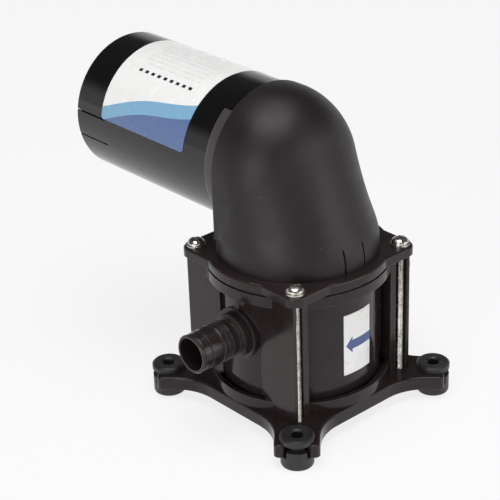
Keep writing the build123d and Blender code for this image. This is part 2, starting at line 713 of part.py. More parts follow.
def hood_section(step, wall):
    """The arch-shaped section of the hood at one step of the turn, inset by a wall."""
    part_turn = step / hood_steps
    turn = radians(90 * part_turn)
    reach = hood_reach(turn)
    arch_r = wall_r + (hood_mouth_r - wall_r) * part_turn
    centre = reach - arch_r
    arch_r -= wall
    foot = skirt_chord + (hood_mouth_r - skirt_chord) * part_turn - wall
    plane = Plane(origin=(0, hood_mouth_y, skirt_top), x_dir=(1, 0, 0),
                  z_dir=(0, -sin(turn), -cos(turn)))
    with BuildSketch(plane) as section:
        with BuildLine():
            Bezier((foot, elbow_inner_r), (foot + (arch_r - foot) * 0.62, centre * 0.3),
                   (arch_r, centre * 0.62), (arch_r, centre))
            ThreePointArc((arch_r, centre), (0, centre + arch_r), (-arch_r, centre))
            Bezier((-arch_r, centre), (-arch_r, centre * 0.62),
                   (-foot - (arch_r - foot) * 0.62, centre * 0.3), (-foot, elbow_inner_r))
            Line((-foot, elbow_inner_r), (foot, elbow_inner_r))
        make_face()
    return section.sketch.faces()[0]


inner_r = wall_r - skirt_wall
with BuildPart() as hood_cavity:
    loft([hood_section(step, hood_wall) for step in range(hood_steps + 1)])
    split(bisect_by=Plane.XZ.offset(hood_end_wall - hood_mouth_y), keep=Keep.TOP)

with BuildPart() as rear_wall:
    disc(Plane.XY.offset(head_top), wall_r - rear_wall_step, inner_r, shaft_z - head_top)
    split(bisect_by=Plane.XZ.offset(hood_end_wall - hood_mouth_y), keep=Keep.BOTTOM)

with BuildPart() as saddle:
    disc(across(hood_mouth_y - hood_end_wall / 2), hood_mouth_r + 1.2, 0, wall_r)
    with BuildSketch(Plane.XY.offset(head_top)) as saddle_plan:
        Circle(wall_r - 2 * rear_wall_step)
    extrude(saddle_plan.sketch, amount=shaft_z - head_top, mode=Mode.INTERSECT)

with BuildPart() as elbow_hood:
    extrude(hood_section(0, 0), amount=hood_skirt_height)
    loft([hood_section(step, 0) for step in range(hood_steps + 1)])
    add(hood_cavity.part, mode=Mode.SUBTRACT)
    disc(Plane.XY.offset(head_top), inner_r, 0, hood_skirt_height, mode=Mode.SUBTRACT)
    add(rear_wall.part)
    add(saddle.part)
    with BuildSketch(across(hood_mouth_y)) as lip:
        Circle(hood_lip_r)
        gap = 2 * hood_lip_r
        half = radians(hood_lip_open_angle)
        with BuildLine():
            Polyline((0, 0), (gap * sin(half), -gap * cos(half)), (0, -2 * gap),
                     (-gap * sin(half), -gap * cos(half)), close=True)
        make_face(mode=Mode.SUBTRACT)
    extrude(lip.sketch, amount=hood_lip_length)
    disc(across(mount_plate_y), sleeve_r + slip, 0, 2 * wall_r, mode=Mode.SUBTRACT)
    for end in (-1, 1):
        for side in (-1, 1):
            x_mid = side * tongue_half_width
            y_low, y_high = sorted((end * (wall_r + 1), end * (inner_r - 3)))
            height = tongue_height if end < 0 else spigot_height
            block((x_mid - slit_width / 2, y_low, head_top - 1),
                  (x_mid + slit_width / 2, y_high, head_top + height), mode=Mode.SUBTRACT)
finish(elbow_hood, "elbow_hood")

# ---------------------------------------------------------------------------------------
# Motor: mounting plate, bells, can, magnets, armature, commutator and brushes
# ---------------------------------------------------------------------------------------

mount_screw_radius = 21.0
mount_screw_r = 2.0
bolt_radius = 28.4
bolt_r = 2.0
boss_r = 8.5
plate_hole_r = boss_r + slip

with BuildPart() as motor_mount_plate:
    disc(across(mount_plate_y), sleeve_r, plate_hole_r, mount_plate_thickness)
    with BuildSketch(across(mount_plate_y)):
        with Locations((mount_screw_radius, 0), (-mount_screw_radius, 0)):
            Circle(mount_screw_r + hole_clearance)
    extrude(amount=mount_plate_thickness, mode=Mode.SUBTRACT)
finish(motor_mount_plate, "motor_mount_plate")

with BuildPart() as motor_front_bell:
    disc(across(mount_face_y), motor_r, bushing_r, bell_thickness)
    disc(across(mount_plate_y), boss_r, bushing_r, mount_plate_thickness)
    disc(across(mount_face_y + 3), motor_r - can_wall - 4, boss_r, bell_thickness,
         mode=Mode.SUBTRACT)
    with BuildSketch(across(mount_face_y)):
        with Locations((mount_screw_radius, 0), (-mount_screw_radius, 0)):
            Circle(mount_screw_r)
        with Locations((0, bolt_radius), (0, -bolt_radius)):
            Circle(bolt_r)
    extrude(amount=bell_thickness, mode=Mode.SUBTRACT)
finish(motor_front_bell, "motor_front_bell")

with BuildPart() as motor_mount_screws:
    for side in (-1, 1):
        with BuildSketch(Plane(origin=(side * mount_screw_radius, 0, shaft_z),
                               x_dir=(1, 0, 0), z_dir=(0, 0, 1))) as screw_section:
            with BuildLine():
                Polyline((0, mount_plate_y - 2.2), (3.0, mount_plate_y - 2.2),
                         (3.7, mount_plate_y - 1.4), (3.7, mount_plate_y),
                         (mount_screw_r, mount_plate_y),
                         (mount_screw_r, mount_face_y + 3), (0, mount_face_y + 3), close=True)
            make_face()
        revolve(screw_section.sketch,
                axis=Axis((side * mount_screw_radius, 0, shaft_z), (0, 1, 0)))
finish(motor_mount_screws, "motor_mount_screws")

with BuildPart() as front_bushing:
    disc(across(mount_plate_y), bushing_r, shaft_r + running, bell_thickness)
finish(front_bushing, "front_bushing")

with BuildPart() as motor_can:
    disc(across(can_start_y), motor_r, motor_r - can_wall, can_length)
finish(motor_can, "motor_can")

magnet_y = can_start_y + 10.0
magnet_outer_r = motor_r - can_wall
magnet_inner_r = magnet_outer_r - magnet_thickness
with BuildPart() as magnets:
    disc(across(magnet_y), magnet_outer_r, magnet_inner_r, magnet_length)
    for side in (-1, 1):
        with BuildSketch(across(magnet_y)) as magnet_gap:
            with BuildLine():
                Polyline((0, 0), (motor_r * 0.75, side * 1.3 * motor_r),
                         (-motor_r * 0.75, side * 1.3 * motor_r), close=True)
            make_face()
        extrude(magnet_gap.sketch, amount=magnet_length, mode=Mode.SUBTRACT)
finish(magnets, "magnets")

core_y = magnet_y + (magnet_length - core_length) / 2
core_r = magnet_inner_r - air_gap
slot_circle_r = core_r - slot_r - 1.6
with BuildPart() as armature_core:
    disc(across(core_y), core_r, shaft_r, core_length)
    with BuildSketch(across(core_y)):
        with PolarLocations(slot_circle_r, slot_count):
            Circle(slot_r)
        with PolarLocations(core_r - 1.0, slot_count):
            Rectangle(4.0, 1.8)
    extrude(amount=core_length, mode=Mode.SUBTRACT)
finish(armature_core, "armature_core")

end_turn_length = 8.0
with BuildPart() as windings:
    with BuildSketch(across(core_y)):
        with PolarLocations(slot_circle_r, slot_count):
            Circle(slot_r - 0.1)
    extrude(amount=core_length)
    for start in (core_y - end_turn_length, core_y + core_length):
        disc(across(start), core_r - 1.5, shaft_r + 4, end_turn_length)
finish(windings, "windings")

commutator_y = core_y + core_length + end_turn_length + 1.0
with BuildPart() as commutator:
    disc(across(commutator_y), commutator_r, shaft_r, commutator_length)
    with BuildSketch(across(commutator_y)):
        with PolarLocations(commutator_r, 12):
            Rectangle(1.2, 0.6)
    extrude(amount=commutator_length, mode=Mode.SUBTRACT)
finish(commutator, "commutator")

shaft_start_y = rod_half_width + hub_gap + 0.3
shaft_end_y = motor_end_y - 2.0
with BuildPart() as motor_shaft:
    disc(across(shaft_start_y), shaft_r, 0, shaft_end_y - shaft_start_y)
finish(motor_shaft, "motor_shaft")

brush_y = commutator_y + commutator_length / 2
brush_half = brush_width / 2
holder_wall = 1.2
holder_reach = 25.0
brush_end = commutator_r + brush_length
with BuildPart() as carbon_brushes:
    for side in (-1, 1):
        x_low, x_high = sorted((side * (commutator_r - 1), side * brush_end))
        block((x_low, brush_y - brush_half, shaft_z - brush_half),
              (x_high, brush_y + brush_half, shaft_z + brush_half))
    disc(across(brush_y - brush_width), commutator_r + 0.1, 0, 2 * brush_width,
         mode=Mode.SUBTRACT)
finish(carbon_brushes, "carbon_brushes")

with BuildPart() as brush_holders:
    for side in (-1, 1):
        outer = brush_half + slip + holder_wall
        inner = brush_half + slip
        x_low, x_high = sorted((side * (commutator_r + 3.0), side * holder_reach))
        block((x_low, brush_y - outer, shaft_z - outer), (x_high, can_end_y, shaft_z + outer))
        x_low, x_high = sorted((side * commutator_r, side * (holder_reach - holder_wall)))
        block((x_low, brush_y - inner, shaft_z - inner),
              (x_high, brush_y + inner, shaft_z + inner), mode=Mode.SUBTRACT)
finish(brush_holders, "brush_holders")

with BuildPart() as brush_springs:
    for side in (-1, 1):
        spring_plane = Plane(origin=(side * brush_end, brush_y, shaft_z), x_dir=(0, 1, 0),
                             z_dir=(side, 0, 0))
        disc(spring_plane, 2.4, 1.6, holder_reach - holder_wall - brush_end)
finish(brush_springs, "brush_springs")

with BuildPart() as motor_rear_bell:
    disc(across(can_end_y), motor_r, bushing_r, rear_bell_thickness)
    with BuildSketch(across(can_end_y)):
        with Locations((0, bolt_radius), (0, -bolt_radius)):
            Circle(bolt_r + hole_clearance)
        with Locations((bolt_radius, 0), (-bolt_radius, 0)):
            Circle(mount_screw_r)
    extrude(amount=rear_bell_thickness, mode=Mode.SUBTRACT)
finish(motor_rear_bell, "motor_rear_bell")

with BuildPart() as rear_bushing:
    disc(across(can_end_y + 1), bushing_r, shaft_r + running, rear_bell_thickness - 2)
finish(rear_bushing, "rear_bushing")


def rear_screw(x, z, radius, head_r, seat_y, length):
    """A screw parallel to the shaft, driven from the rear, with its head on seat_y."""
    plane = Plane(origin=(x, 0, z), x_dir=(1, 0, 0), z_dir=(0, 0, 1))
    turned([(0, seat_y - length), (radius, seat_y - length), (radius, seat_y),
            (head_r, seat_y), (head_r, seat_y + 1.2), (head_r - 0.7, seat_y + 2.0),
            (0, seat_y + 2.0)], plane, Axis((x, 0, z), (0, 1, 0)))


with BuildPart() as motor_through_bolts:
    for side in (-1, 1):
        rear_screw(0, shaft_z + side * bolt_radius, bolt_r, 3.6, motor_end_y,
                   motor_end_y - mount_face_y - 1.0)
finish(motor_through_bolts, "motor_through_bolts")

# ---------------------------------------------------------------------------------------
# Eccentric with its counterweight, drawn with the crank pin straight below the shaft
# ---------------------------------------------------------------------------------------

pin_front = -rod_half_width - 0.2
hub_start = rod_half_width + hub_gap
with BuildPart() as eccentric:
    disc(across(hub_start), hub_r, 0, hub_length)
    with BuildSketch(across(hub_start)) as weight:
        Circle(counterweight_r)
        with Locations((0, counterweight_r)):
            Rectangle(2.2 * counterweight_r, 2 * counterweight_r, mode=Mode.SUBTRACT)
    extrude(weight.sketch, amount=web_thickness)
    disc(across(pin_front, crank_z), shaft_r, 0, hub_start - pin_front)
    disc(across(rod_half_width, crank_z), shaft_r + 1.6, 0, hub_gap)
    disc(across(shaft_start_y), shaft_r, 0, hub_length, mode=Mode.SUBTRACT)
    disc(across(pin_front, crank_z), 1.5, 0, 7.0, mode=Mode.SUBTRACT)
    disc(Plane.XY.offset(shaft_z).move(Location((0, hub_start + hub_length / 2, 0))), 1.5, 0,
         counterweight_r + 1, mode=Mode.SUBTRACT)
finish(eccentric, "eccentric")

with BuildPart() as eccentric_set_screw:
    disc(Plane.XY.offset(shaft_z + shaft_r).move(
         Location((0, hub_start + hub_length / 2, 0))), 1.5, 0, hub_r - shaft_r)
finish(eccentric_set_screw, "eccentric_set_screw")

with BuildPart() as crank_washer:
    disc(across(pin_front - 1.0, crank_z), 7.0, 1.5 + hole_clearance, 1.0)
finish(crank_washer, "crank_washer")

with BuildPart() as crank_screw:
    disc(across(pin_front - 3.2, crank_z), 3.0, 0, 2.2)
    disc(across(pin_front - 1.0, crank_z), 1.5, 0, 7.0)
finish(crank_screw, "crank_screw")

# ---------------------------------------------------------------------------------------
# Motor sleeve, rear cap, cable gland and the two labels
# ---------------------------------------------------------------------------------------

sleeve_start_y = mount_face_y + 0.2
sleeve_inner_r = sleeve_r - sleeve_wall
cap_y = sleeve_end_y - cap_recess - cap_thickness
gland_x = 14.0
gland_z = shaft_z - 14.0
tongue_low = -104.0
tongue_high = -82.0

with BuildPart() as motor_sleeve:
    disc(across(sleeve_start_y), sleeve_r, sleeve_inner_r, sleeve_end_y - sleeve_start_y)
    fillet(motor_sleeve.edges().filter_by(GeomType.CIRCLE).group_by(Axis.Y)[-1], 0.8)
    for side in (-1, 1):
        for angle in (tongue_low, tongue_high):
            turn = radians(angle) * side
            slit_y = sleeve_end_y - sleeve_slit_length / 2
            with Locations(Pos(sin(turn) * (sleeve_r - 1), slit_y,
                               shaft_z + cos(turn) * (sleeve_r - 1))
                           * Rot(0, angle * side, 0)):
                Box(slit_width, sleeve_slit_length, 3 * sleeve_wall, mode=Mode.SUBTRACT)
finish(motor_sleeve, "motor_sleeve")

with BuildPart() as rear_cap:
    disc(across(cap_y), sleeve_inner_r - slip / 2, 0, cap_thickness)
    for side in (-1, 1):
        with BuildSketch(across(motor_end_y)) as post:
            with Locations((side * bolt_radius, 0)):
                Circle(4.0)
        extrude(post.sketch, amount=cap_y - motor_end_y)
    with BuildSketch(across(motor_end_y)) as holes:
        with Locations((bolt_radius, 0), (-bolt_radius, 0)):
            Circle(mount_screw_r + hole_clearance)
    extrude(holes.sketch, amount=sleeve_end_y - motor_end_y, mode=Mode.SUBTRACT)
    with BuildSketch(across(cap_y)) as gland_hole:
        with Locations((gland_x, shaft_z - gland_z)):
            Circle(gland_bore_r + 2.4)
    extrude(gland_hole.sketch, amount=cap_thickness, mode=Mode.SUBTRACT)
finish(rear_cap, "rear_cap")

with BuildPart() as rear_cap_screws:
    for side in (-1, 1):
        rear_screw(side * bolt_radius, shaft_z, mount_screw_r, 3.6,
                   sleeve_end_y - cap_recess, cap_thickness + 9.0)
finish(rear_cap_screws, "rear_cap_screws")

gland_seat = sleeve_end_y - cap_recess
with BuildPart() as cable_gland:
    turned([(gland_bore_r, cap_y - 2.0), (gland_bore_r + 2.4, cap_y - 2.0),
            (gland_bore_r + 2.4, gland_seat), (gland_r, gland_seat),
            (gland_r, gland_seat + 3.0), (gland_r - 1.4, gland_seat + 3.4),
            (gland_r - 1.4, gland_seat + 5.0), (gland_bore_r + 1.2, gland_seat + 8.0),
            (gland_bore_r, gland_seat + 8.0)],
           Plane(origin=(gland_x, 0, gland_z), x_dir=(1, 0, 0), z_dir=(0, 0, 1)),
           Axis((gland_x, 0, gland_z), (0, 1, 0)))
finish(cable_gland, "cable_gland")

with BuildPart() as motor_label:
    disc(across(motor_label_start_y), sleeve_r + label_thickness, sleeve_r,
         motor_label_width)
    reach = 3 * sleeve_r
    side_x = reach * sin(radians(motor_label_half_angle))
    side_z = reach * cos(radians(motor_label_half_angle))
    with BuildSketch(across(motor_label_start_y)) as label_fan:
        with BuildLine():
            Polyline((0, 0), (side_x, -side_z), (side_x, -reach), (-side_x, -reach),
                     (-side_x, -side_z), close=True)
        make_face()
    extrude(label_fan.sketch, amount=motor_label_width, mode=Mode.INTERSECT)
finish(motor_label, "motor_label")

flow_label_centre = 1.1
flow_low = base_top + flow_label_lift
with BuildPart() as flow_label:
    disc(Plane.XY.offset(flow_low), wall_r + label_thickness, wall_r, flow_label_height)
    with Locations((flow_label_centre, -wall_r, flow_low + flow_label_height / 2)):
        Box(flow_label_width, wall_r, flow_label_height, mode=Mode.INTERSECT)
finish(flow_label, "flow_label")
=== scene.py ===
import json
import math

import bmesh
import bpy
import numpy as np
from mathutils import Matrix, Vector


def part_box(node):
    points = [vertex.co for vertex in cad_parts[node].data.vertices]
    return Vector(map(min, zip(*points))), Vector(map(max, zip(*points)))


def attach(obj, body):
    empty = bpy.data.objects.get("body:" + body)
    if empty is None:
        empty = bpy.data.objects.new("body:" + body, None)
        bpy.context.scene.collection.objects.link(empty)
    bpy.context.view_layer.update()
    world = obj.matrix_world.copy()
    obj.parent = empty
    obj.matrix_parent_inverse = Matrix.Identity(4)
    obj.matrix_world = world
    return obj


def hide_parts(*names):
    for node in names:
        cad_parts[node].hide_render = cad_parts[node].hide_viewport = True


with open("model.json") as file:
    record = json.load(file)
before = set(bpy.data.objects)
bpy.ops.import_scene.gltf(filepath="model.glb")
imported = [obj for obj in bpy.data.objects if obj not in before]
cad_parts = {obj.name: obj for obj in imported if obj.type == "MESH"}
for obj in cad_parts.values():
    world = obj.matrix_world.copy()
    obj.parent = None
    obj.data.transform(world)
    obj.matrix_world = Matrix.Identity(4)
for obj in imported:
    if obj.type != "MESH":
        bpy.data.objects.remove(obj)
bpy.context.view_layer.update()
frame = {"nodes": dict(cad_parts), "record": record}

# ---------------------------------------------------------------------------------------
# Camera: a long lens well back from the pump, above it and to the left of its front, with
# the outlet barb towards the viewer's left and the motor running away to the upper left.
# ---------------------------------------------------------------------------------------
MM = 0.001
camera_place = Vector((-508.865, -545.097, 459.667)) * MM
camera_heading, camera_drop, camera_roll = -41.192, 26.872, 2.041    # degrees
lens_mm = 120.33

camera = bpy.data.objects.new("camera", bpy.data.cameras.new("camera"))
bpy.context.scene.collection.objects.link(camera)
camera.data.lens = lens_mm
camera.data.sensor_width = 36.0
camera.data.clip_start = 0.05
camera.data.clip_end = 20.0
camera.matrix_world = (Matrix.Translation(camera_place)
                       @ Matrix.Rotation(math.radians(camera_heading), 4, "Z")
                       @ Matrix.Rotation(math.radians(90 - camera_drop), 4, "X")
                       @ Matrix.Rotation(math.radians(-camera_roll), 4, "Z"))
bpy.context.scene.camera = camera

# ---------------------------------------------------------------------------------------
# Studio: a pale floor that runs on without an edge, one large soft lamp overhead, two wider
# ones in front and to the left, and a pale room that darkens towards its ceiling.
# ---------------------------------------------------------------------------------------


def linear(hex_colour):
    """Linear RGBA of an sRGB hex colour: a channel over 12.92 if dark, else a 2.4 power."""
    channels = np.array([int(hex_colour[i:i + 2], 16) for i in (1, 3, 5)]) / 255
    bright = ((channels + 0.055) / 1.055) ** 2.4
    return (*np.where(channels <= 0.04045, channels / 12.92, bright).tolist(), 1.0)


def add_node(tree, kind, inputs=None, **settings):
    """Adds a node. settings are its properties; inputs gives each socket a value or a feed.

    A feed is an output, or a node, which stands for its first output in use.
    """
    made = tree.nodes.new(kind)
    for name, value in settings.items():
        setattr(made, name, value)
    for socket, value in (inputs or {}).items():
        if isinstance(value, bpy.types.Node):
            value = next(output for output in value.outputs if output.enabled)
        if isinstance(value, bpy.types.NodeSocket):
            tree.links.new(value, made.inputs[socket])
        else:
            made.inputs[socket].default_value = value
    return made


def empty_material(name):
    """A new material with no nodes yet, and its node tree."""
    material = bpy.data.materials.new(name)
    material.use_nodes = True
    material.node_tree.nodes.clear()
    return material, material.node_tree


# Matt white paper. To the eye, and in the pump's gloss, it is plain white far away; close
# by, a fifth of it is paper lit by the lamps, which keeps the pump's soft shadow.
near_by, far_away = 0.3, 2.0                 # metres from the middle of the floor
own_light_near, own_light_far = 0.80, 1.0
floor_paper, tree = empty_material("studio_floor_paper")
place = add_node(tree, "ShaderNodeTexCoord").outputs["Object"]
away = add_node(tree, "ShaderNodeVectorMath", {0: place}, operation="LENGTH")
own_light = add_node(tree, "ShaderNodeMapRange", {"Value": away, "From Min": near_by,
                                                  "From Max": far_away,
                                                  "To Min": own_light_near,
                                                  "To Max": own_light_far})
ray = add_node(tree, "ShaderNodeLightPath").outputs
seen = add_node(tree, "ShaderNodeMath", {0: ray["Is Camera Ray"], 1: ray["Is Glossy Ray"]},
                operation="MAXIMUM")
share = add_node(tree, "ShaderNodeMath", {0: seen, 1: own_light}, operation="MULTIPLY")
paper = add_node(tree, "ShaderNodeBsdfDiffuse", {"Color": linear("#F4F4F4")})
glow = add_node(tree, "ShaderNodeEmission", {"Color": linear("#FFFFFF"), "Strength": 1.0})
surface = add_node(tree, "ShaderNodeMixShader", {0: share, 1: paper, 2: glow})
add_node(tree, "ShaderNodeOutputMaterial", {"Surface": surface})

floor_half = 6.0
floor_mesh = bpy.data.meshes.new("studio_floor")
floor_mesh.from_pydata([(-floor_half, -floor_half, 0), (floor_half, -floor_half, 0),
                        (floor_half, floor_half, 0), (-floor_half, floor_half, 0)],
                       [], [(0, 1, 2, 3)])
floor_mesh.materials.append(floor_paper)
floor = bpy.data.objects.new("studio_floor", floor_mesh)
bpy.context.scene.collection.objects.link(floor)

# The room's light falls off with the sine of the height: pale walls and a dark ceiling,
# which give black gloss its soft edge of light. Seen directly, the room is plain white.
wall_top, ceiling_edge = 0.16, 0.42
wall_light, ceiling_light = 0.68, 0.07
world = bpy.data.worlds.new("studio_world")
world.use_nodes = True
bpy.context.scene.world = world
tree = world.node_tree
tree.nodes.clear()
direction = add_node(tree, "ShaderNodeTexCoord").outputs["Generated"]
climb = add_node(tree, "ShaderNodeSeparateXYZ", {0: direction}).outputs["Z"]
fade = add_node(tree, "ShaderNodeMapRange", {"Value": climb, "From Min": wall_top,
                                             "From Max": ceiling_edge, "To Min": wall_light,
                                             "To Max": ceiling_light},
                interpolation_type="SMOOTHSTEP")
room = add_node(tree, "ShaderNodeBackground", {"Color": linear("#FFFFFF"),
                                               "Strength": fade})
backdrop = add_node(tree, "ShaderNodeBackground", {"Color": linear("#FFFFFF"),
                                                   "Strength": 1.0})
ray = add_node(tree, "ShaderNodeLightPath").outputs
surface = add_node(tree, "ShaderNodeMixShader", {0: ray["Is Camera Ray"], 1: room,
                                                 2: backdrop})
add_node(tree, "ShaderNodeOutputWorld", {"Surface": surface})


def soft_lamp(name, place, target, size, watts):
    """A square area lamp at place, facing target, with its size in metres too."""
    lamp = bpy.data.lights.new(name, "AREA")
    lamp.shape = "SQUARE"
    lamp.size = size
    lamp.energy = watts
    holder = bpy.data.objects.new(name, lamp)
    bpy.context.scene.collection.objects.link(holder)
    aim = Vector(target) - Vector(place)
    holder.matrix_world = (Matrix.Translation(place)
                           @ aim.to_track_quat("-Z", "Y").to_matrix().to_4x4())


pump_middle = (0.0, 0.02, 0.08)
soft_lamp("lamp_overhead", (-0.12, -0.10, 1.05), pump_middle, size=0.8, watts=8.4)
soft_lamp("lamp_front", (0.9, -2.2, 0.5), pump_middle, size=1.8, watts=22.0)
soft_lamp("lamp_left", (-2.3, -0.7, 0.6), pump_middle, size=1.5, watts=22.0)
bpy.context.scene.view_settings.view_transform = "Standard"

# ---------------------------------------------------------------------------------------
# Pump body, base plate, head ring, valve plate and hose barbs: injection-moulded black
# glass-filled polyester, semi-gloss, with fine mould texture and dust; its edges are
# painted paler, partly as rubbed wear and partly as a painted highlight.
# ---------------------------------------------------------------------------------------
COLOUR_A, COLOUR_B = 6, 7      # the sockets of a Mix node that take its two colours
mid_noise = 0.3, 0.7           # most of a noise's values lie between these


def coat(material, *names):
    """Gives CAD nodes a finish, in place of every material they came with."""
    for name in names:
        for slot in frame["nodes"][name].material_slots:
            slot.material = material


def cloud(tree, place, size_mm, cut=mid_noise, detail=2.0, span=(0.0, 1.0)):
    """Cloudy patches about size_mm across: noise within cut, carried to span's ends."""
    drift = add_node(tree, "ShaderNodeTexNoise", {"Vector": place, "Detail": detail,
                                                  "Scale": 1 / (size_mm * MM)})
    return add_node(tree, "ShaderNodeMapRange", {"Value": drift, "From Min": cut[0],
                                                 "From Max": cut[1], "To Min": span[0],
                                                 "To Max": span[1]})


# The edges this marks are painted paler: partly rubbed wear, partly a painted highlight.
def worn_and_highlit_edges(tree, place, rounded):
    """1 where the rounded normal leaves the true one, on outside edges, broken by noise."""
    on_flat, on_edge = 0.995, 0.80      # cosines between the two normals
    patch_mm, patch_cut = 4.0, (0.4, 0.65)
    true_normal = add_node(tree, "ShaderNodeNewGeometry").outputs["Normal"]
    agree = add_node(tree, "ShaderNodeVectorMath", {0: rounded, 1: true_normal},
                     operation="DOT_PRODUCT")
    worn_and_lit_edge = add_node(tree, "ShaderNodeMapRange", {"Value": agree, "From Min": on_flat,
                                                "From Max": on_edge})
    patches = cloud(tree, place, patch_mm, patch_cut)
    return add_node(tree, "ShaderNodeMath", {0: worn_and_lit_edge, 1: patches}, operation="MULTIPLY")


def dust(tree, place):
    """A share of dust: a speck in the middle of each cell, where a noise is high."""
    cell_mm, speck_r = 5.0, 0.035       # the radius is in cells, so a speck is 0.35 mm wide
    patch_mm, patch_cut, cover = 9.0, 0.58, 0.45
    cells = add_node(tree, "ShaderNodeTexVoronoi", {"Vector": place,
                                                    "Scale": 1 / (cell_mm * MM)})
    speck = add_node(tree, "ShaderNodeMath", {0: cells, 1: speck_r}, operation="LESS_THAN")
    drift = add_node(tree, "ShaderNodeTexNoise", {"Vector": place,
                                                  "Scale": 1 / (patch_mm * MM)})
    dusty = add_node(tree, "ShaderNodeMath", {0: drift, 1: patch_cut},
                     operation="GREATER_THAN")
    specks = add_node(tree, "ShaderNodeMath", {0: speck, 1: dusty}, operation="MULTIPLY")
    return add_node(tree, "ShaderNodeMath", {0: specks, 1: cover}, operation="MULTIPLY")


def moulded_plastic(name, dark, pale, edge_wear_and_highlight, roughness, grain_mm, grain_depth, edge_mm,
                    gloss=0.5):
    """Moulded plastic: dark to pale mottle, mould grain, dust and soft paler edges;
    the edges are partly rubbed wear, partly a painted highlight.

    Real mould grain is 0.1 mm or so, too fine to show, so it is drawn grain_mm across.
    """
    mottle_mm, sheen_mm, grain_height = 22.0, 14.0, 0.1 * MM
    dust_grey = "#B9B4AE"
    material, tree = empty_material(name)
    place = add_node(tree, "ShaderNodeTexCoord").outputs["Object"]
    rounded = add_node(tree, "ShaderNodeBevel", {"Radius": edge_mm * MM}, samples=6)
    grain = add_node(tree, "ShaderNodeTexNoise", {"Vector": place,
                                                  "Scale": 1 / (grain_mm * MM)})
    bump = add_node(tree, "ShaderNodeBump", {"Height": grain, "Strength": grain_depth,
                                             "Distance": grain_height, "Normal": rounded})
    mottle = cloud(tree, place, mottle_mm, detail=4.0)
    colour = add_node(tree, "ShaderNodeMix", {"Factor": mottle, COLOUR_A: linear(dark),
                                              COLOUR_B: linear(pale)}, data_type="RGBA")
    # Edges take the pale edge colour: partly rubbed wear, partly a painted highlight.
    colour = add_node(tree, "ShaderNodeMix", {"Factor": worn_and_highlit_edges(tree, place, rounded),
                                              COLOUR_A: colour, COLOUR_B: linear(edge_wear_and_highlight)},
                      data_type="RGBA")
    colour = add_node(tree, "ShaderNodeMix", {"Factor": dust(tree, place), COLOUR_A: colour,
                                              COLOUR_B: linear(dust_grey)},
                      data_type="RGBA")
    sheen = cloud(tree, place, sheen_mm, detail=3.0,
                  span=(roughness - 0.05, roughness + 0.06))
    skin = add_node(tree, "ShaderNodeBsdfPrincipled", {"Base Color": colour,
                                                       "Roughness": sheen,
                                                       "IOR": 1.49,
                                                       "Specular IOR Level": gloss,
                                                       "Normal": bump})
    add_node(tree, "ShaderNodeOutputMaterial", {"Surface": skin})
    return material


# A warm brown-black with a close sheen from the polished mould. Its edges are painted
# greyer, partly as rubbed wear and partly as a painted highlight.
body_plastic = moulded_plastic("glass_filled_polyester_moulded", "#231C1D", "#2C2425",
                               "#5A5254", roughness=0.16, grain_mm=0.9, grain_depth=0.10,
                               edge_mm=0.6, gloss=0.30)
coat(body_plastic, "base_plate", "pump_body", "outlet_port", "inlet_port", "valve_plate",
     "top_plate")

# ---------------------------------------------------------------------------------------
# Foot grommets, gaskets, valve flaps and diaphragm: black EPDM rubber, compression
# moulded, matte with a grey bloom where it has been handled.
# ---------------------------------------------------------------------------------------


def moulded_rubber(name, dark, bloom, roughness):
    """Compression-moulded rubber: matte, pitted, with a patchy pale bloom.

    The pits of a real mould are finer than shows, so they are drawn 0.5 mm across.
    """
    pit_mm, bloom_mm, bloom_cut = 0.5, 7.0, (0.45, 0.75)
    material, tree = empty_material(name)
    place = add_node(tree, "ShaderNodeTexCoord").outputs["Object"]
    rounded = add_node(tree, "ShaderNodeBevel", {"Radius": 0.4 * MM}, samples=6)
    pits = add_node(tree, "ShaderNodeTexNoise", {"Vector": place, "Detail": 3.0,
                                                 "Scale": 1 / (pit_mm * MM)})
    bump = add_node(tree, "ShaderNodeBump", {"Height": pits, "Strength": 0.2,
                                             "Distance": 0.1 * MM, "Normal": rounded})
    handled = cloud(tree, place, bloom_mm, bloom_cut, detail=4.0)
    colour = add_node(tree, "ShaderNodeMix", {"Factor": handled, COLOUR_A: linear(dark),
                                              COLOUR_B: linear(bloom)}, data_type="RGBA")
    dulled = add_node(tree, "ShaderNodeMapRange", {"Value": handled, "To Min": roughness,
                                                   "To Max": roughness + 0.15})
    skin = add_node(tree, "ShaderNodeBsdfPrincipled",
                    {"Base Color": colour, "Roughness": dulled, "IOR": 1.52,
                     "Sheen Weight": 0.05, "Normal": bump})
    add_node(tree, "ShaderNodeOutputMaterial", {"Surface": skin})
    return material


# Darker and duller than the plastic round it, so that the feet read as soft.
epdm_rubber = moulded_rubber("epdm_rubber_moulded", "#151314", "#262223", roughness=0.42)
coat(epdm_rubber, "grommet_front_left", "grommet_front_right", "grommet_back_left",
     "grommet_back_right", "base_seal", "port_seals", "inlet_flap", "outlet_flap",
     "main_diaphragm")

# ---------------------------------------------------------------------------------------
# Tie screws: four M4 stainless steel screws, slotted pan heads on washers, with rolled
# thread the whole way down the open channels to hexagon nuts held in the base.
# ---------------------------------------------------------------------------------------


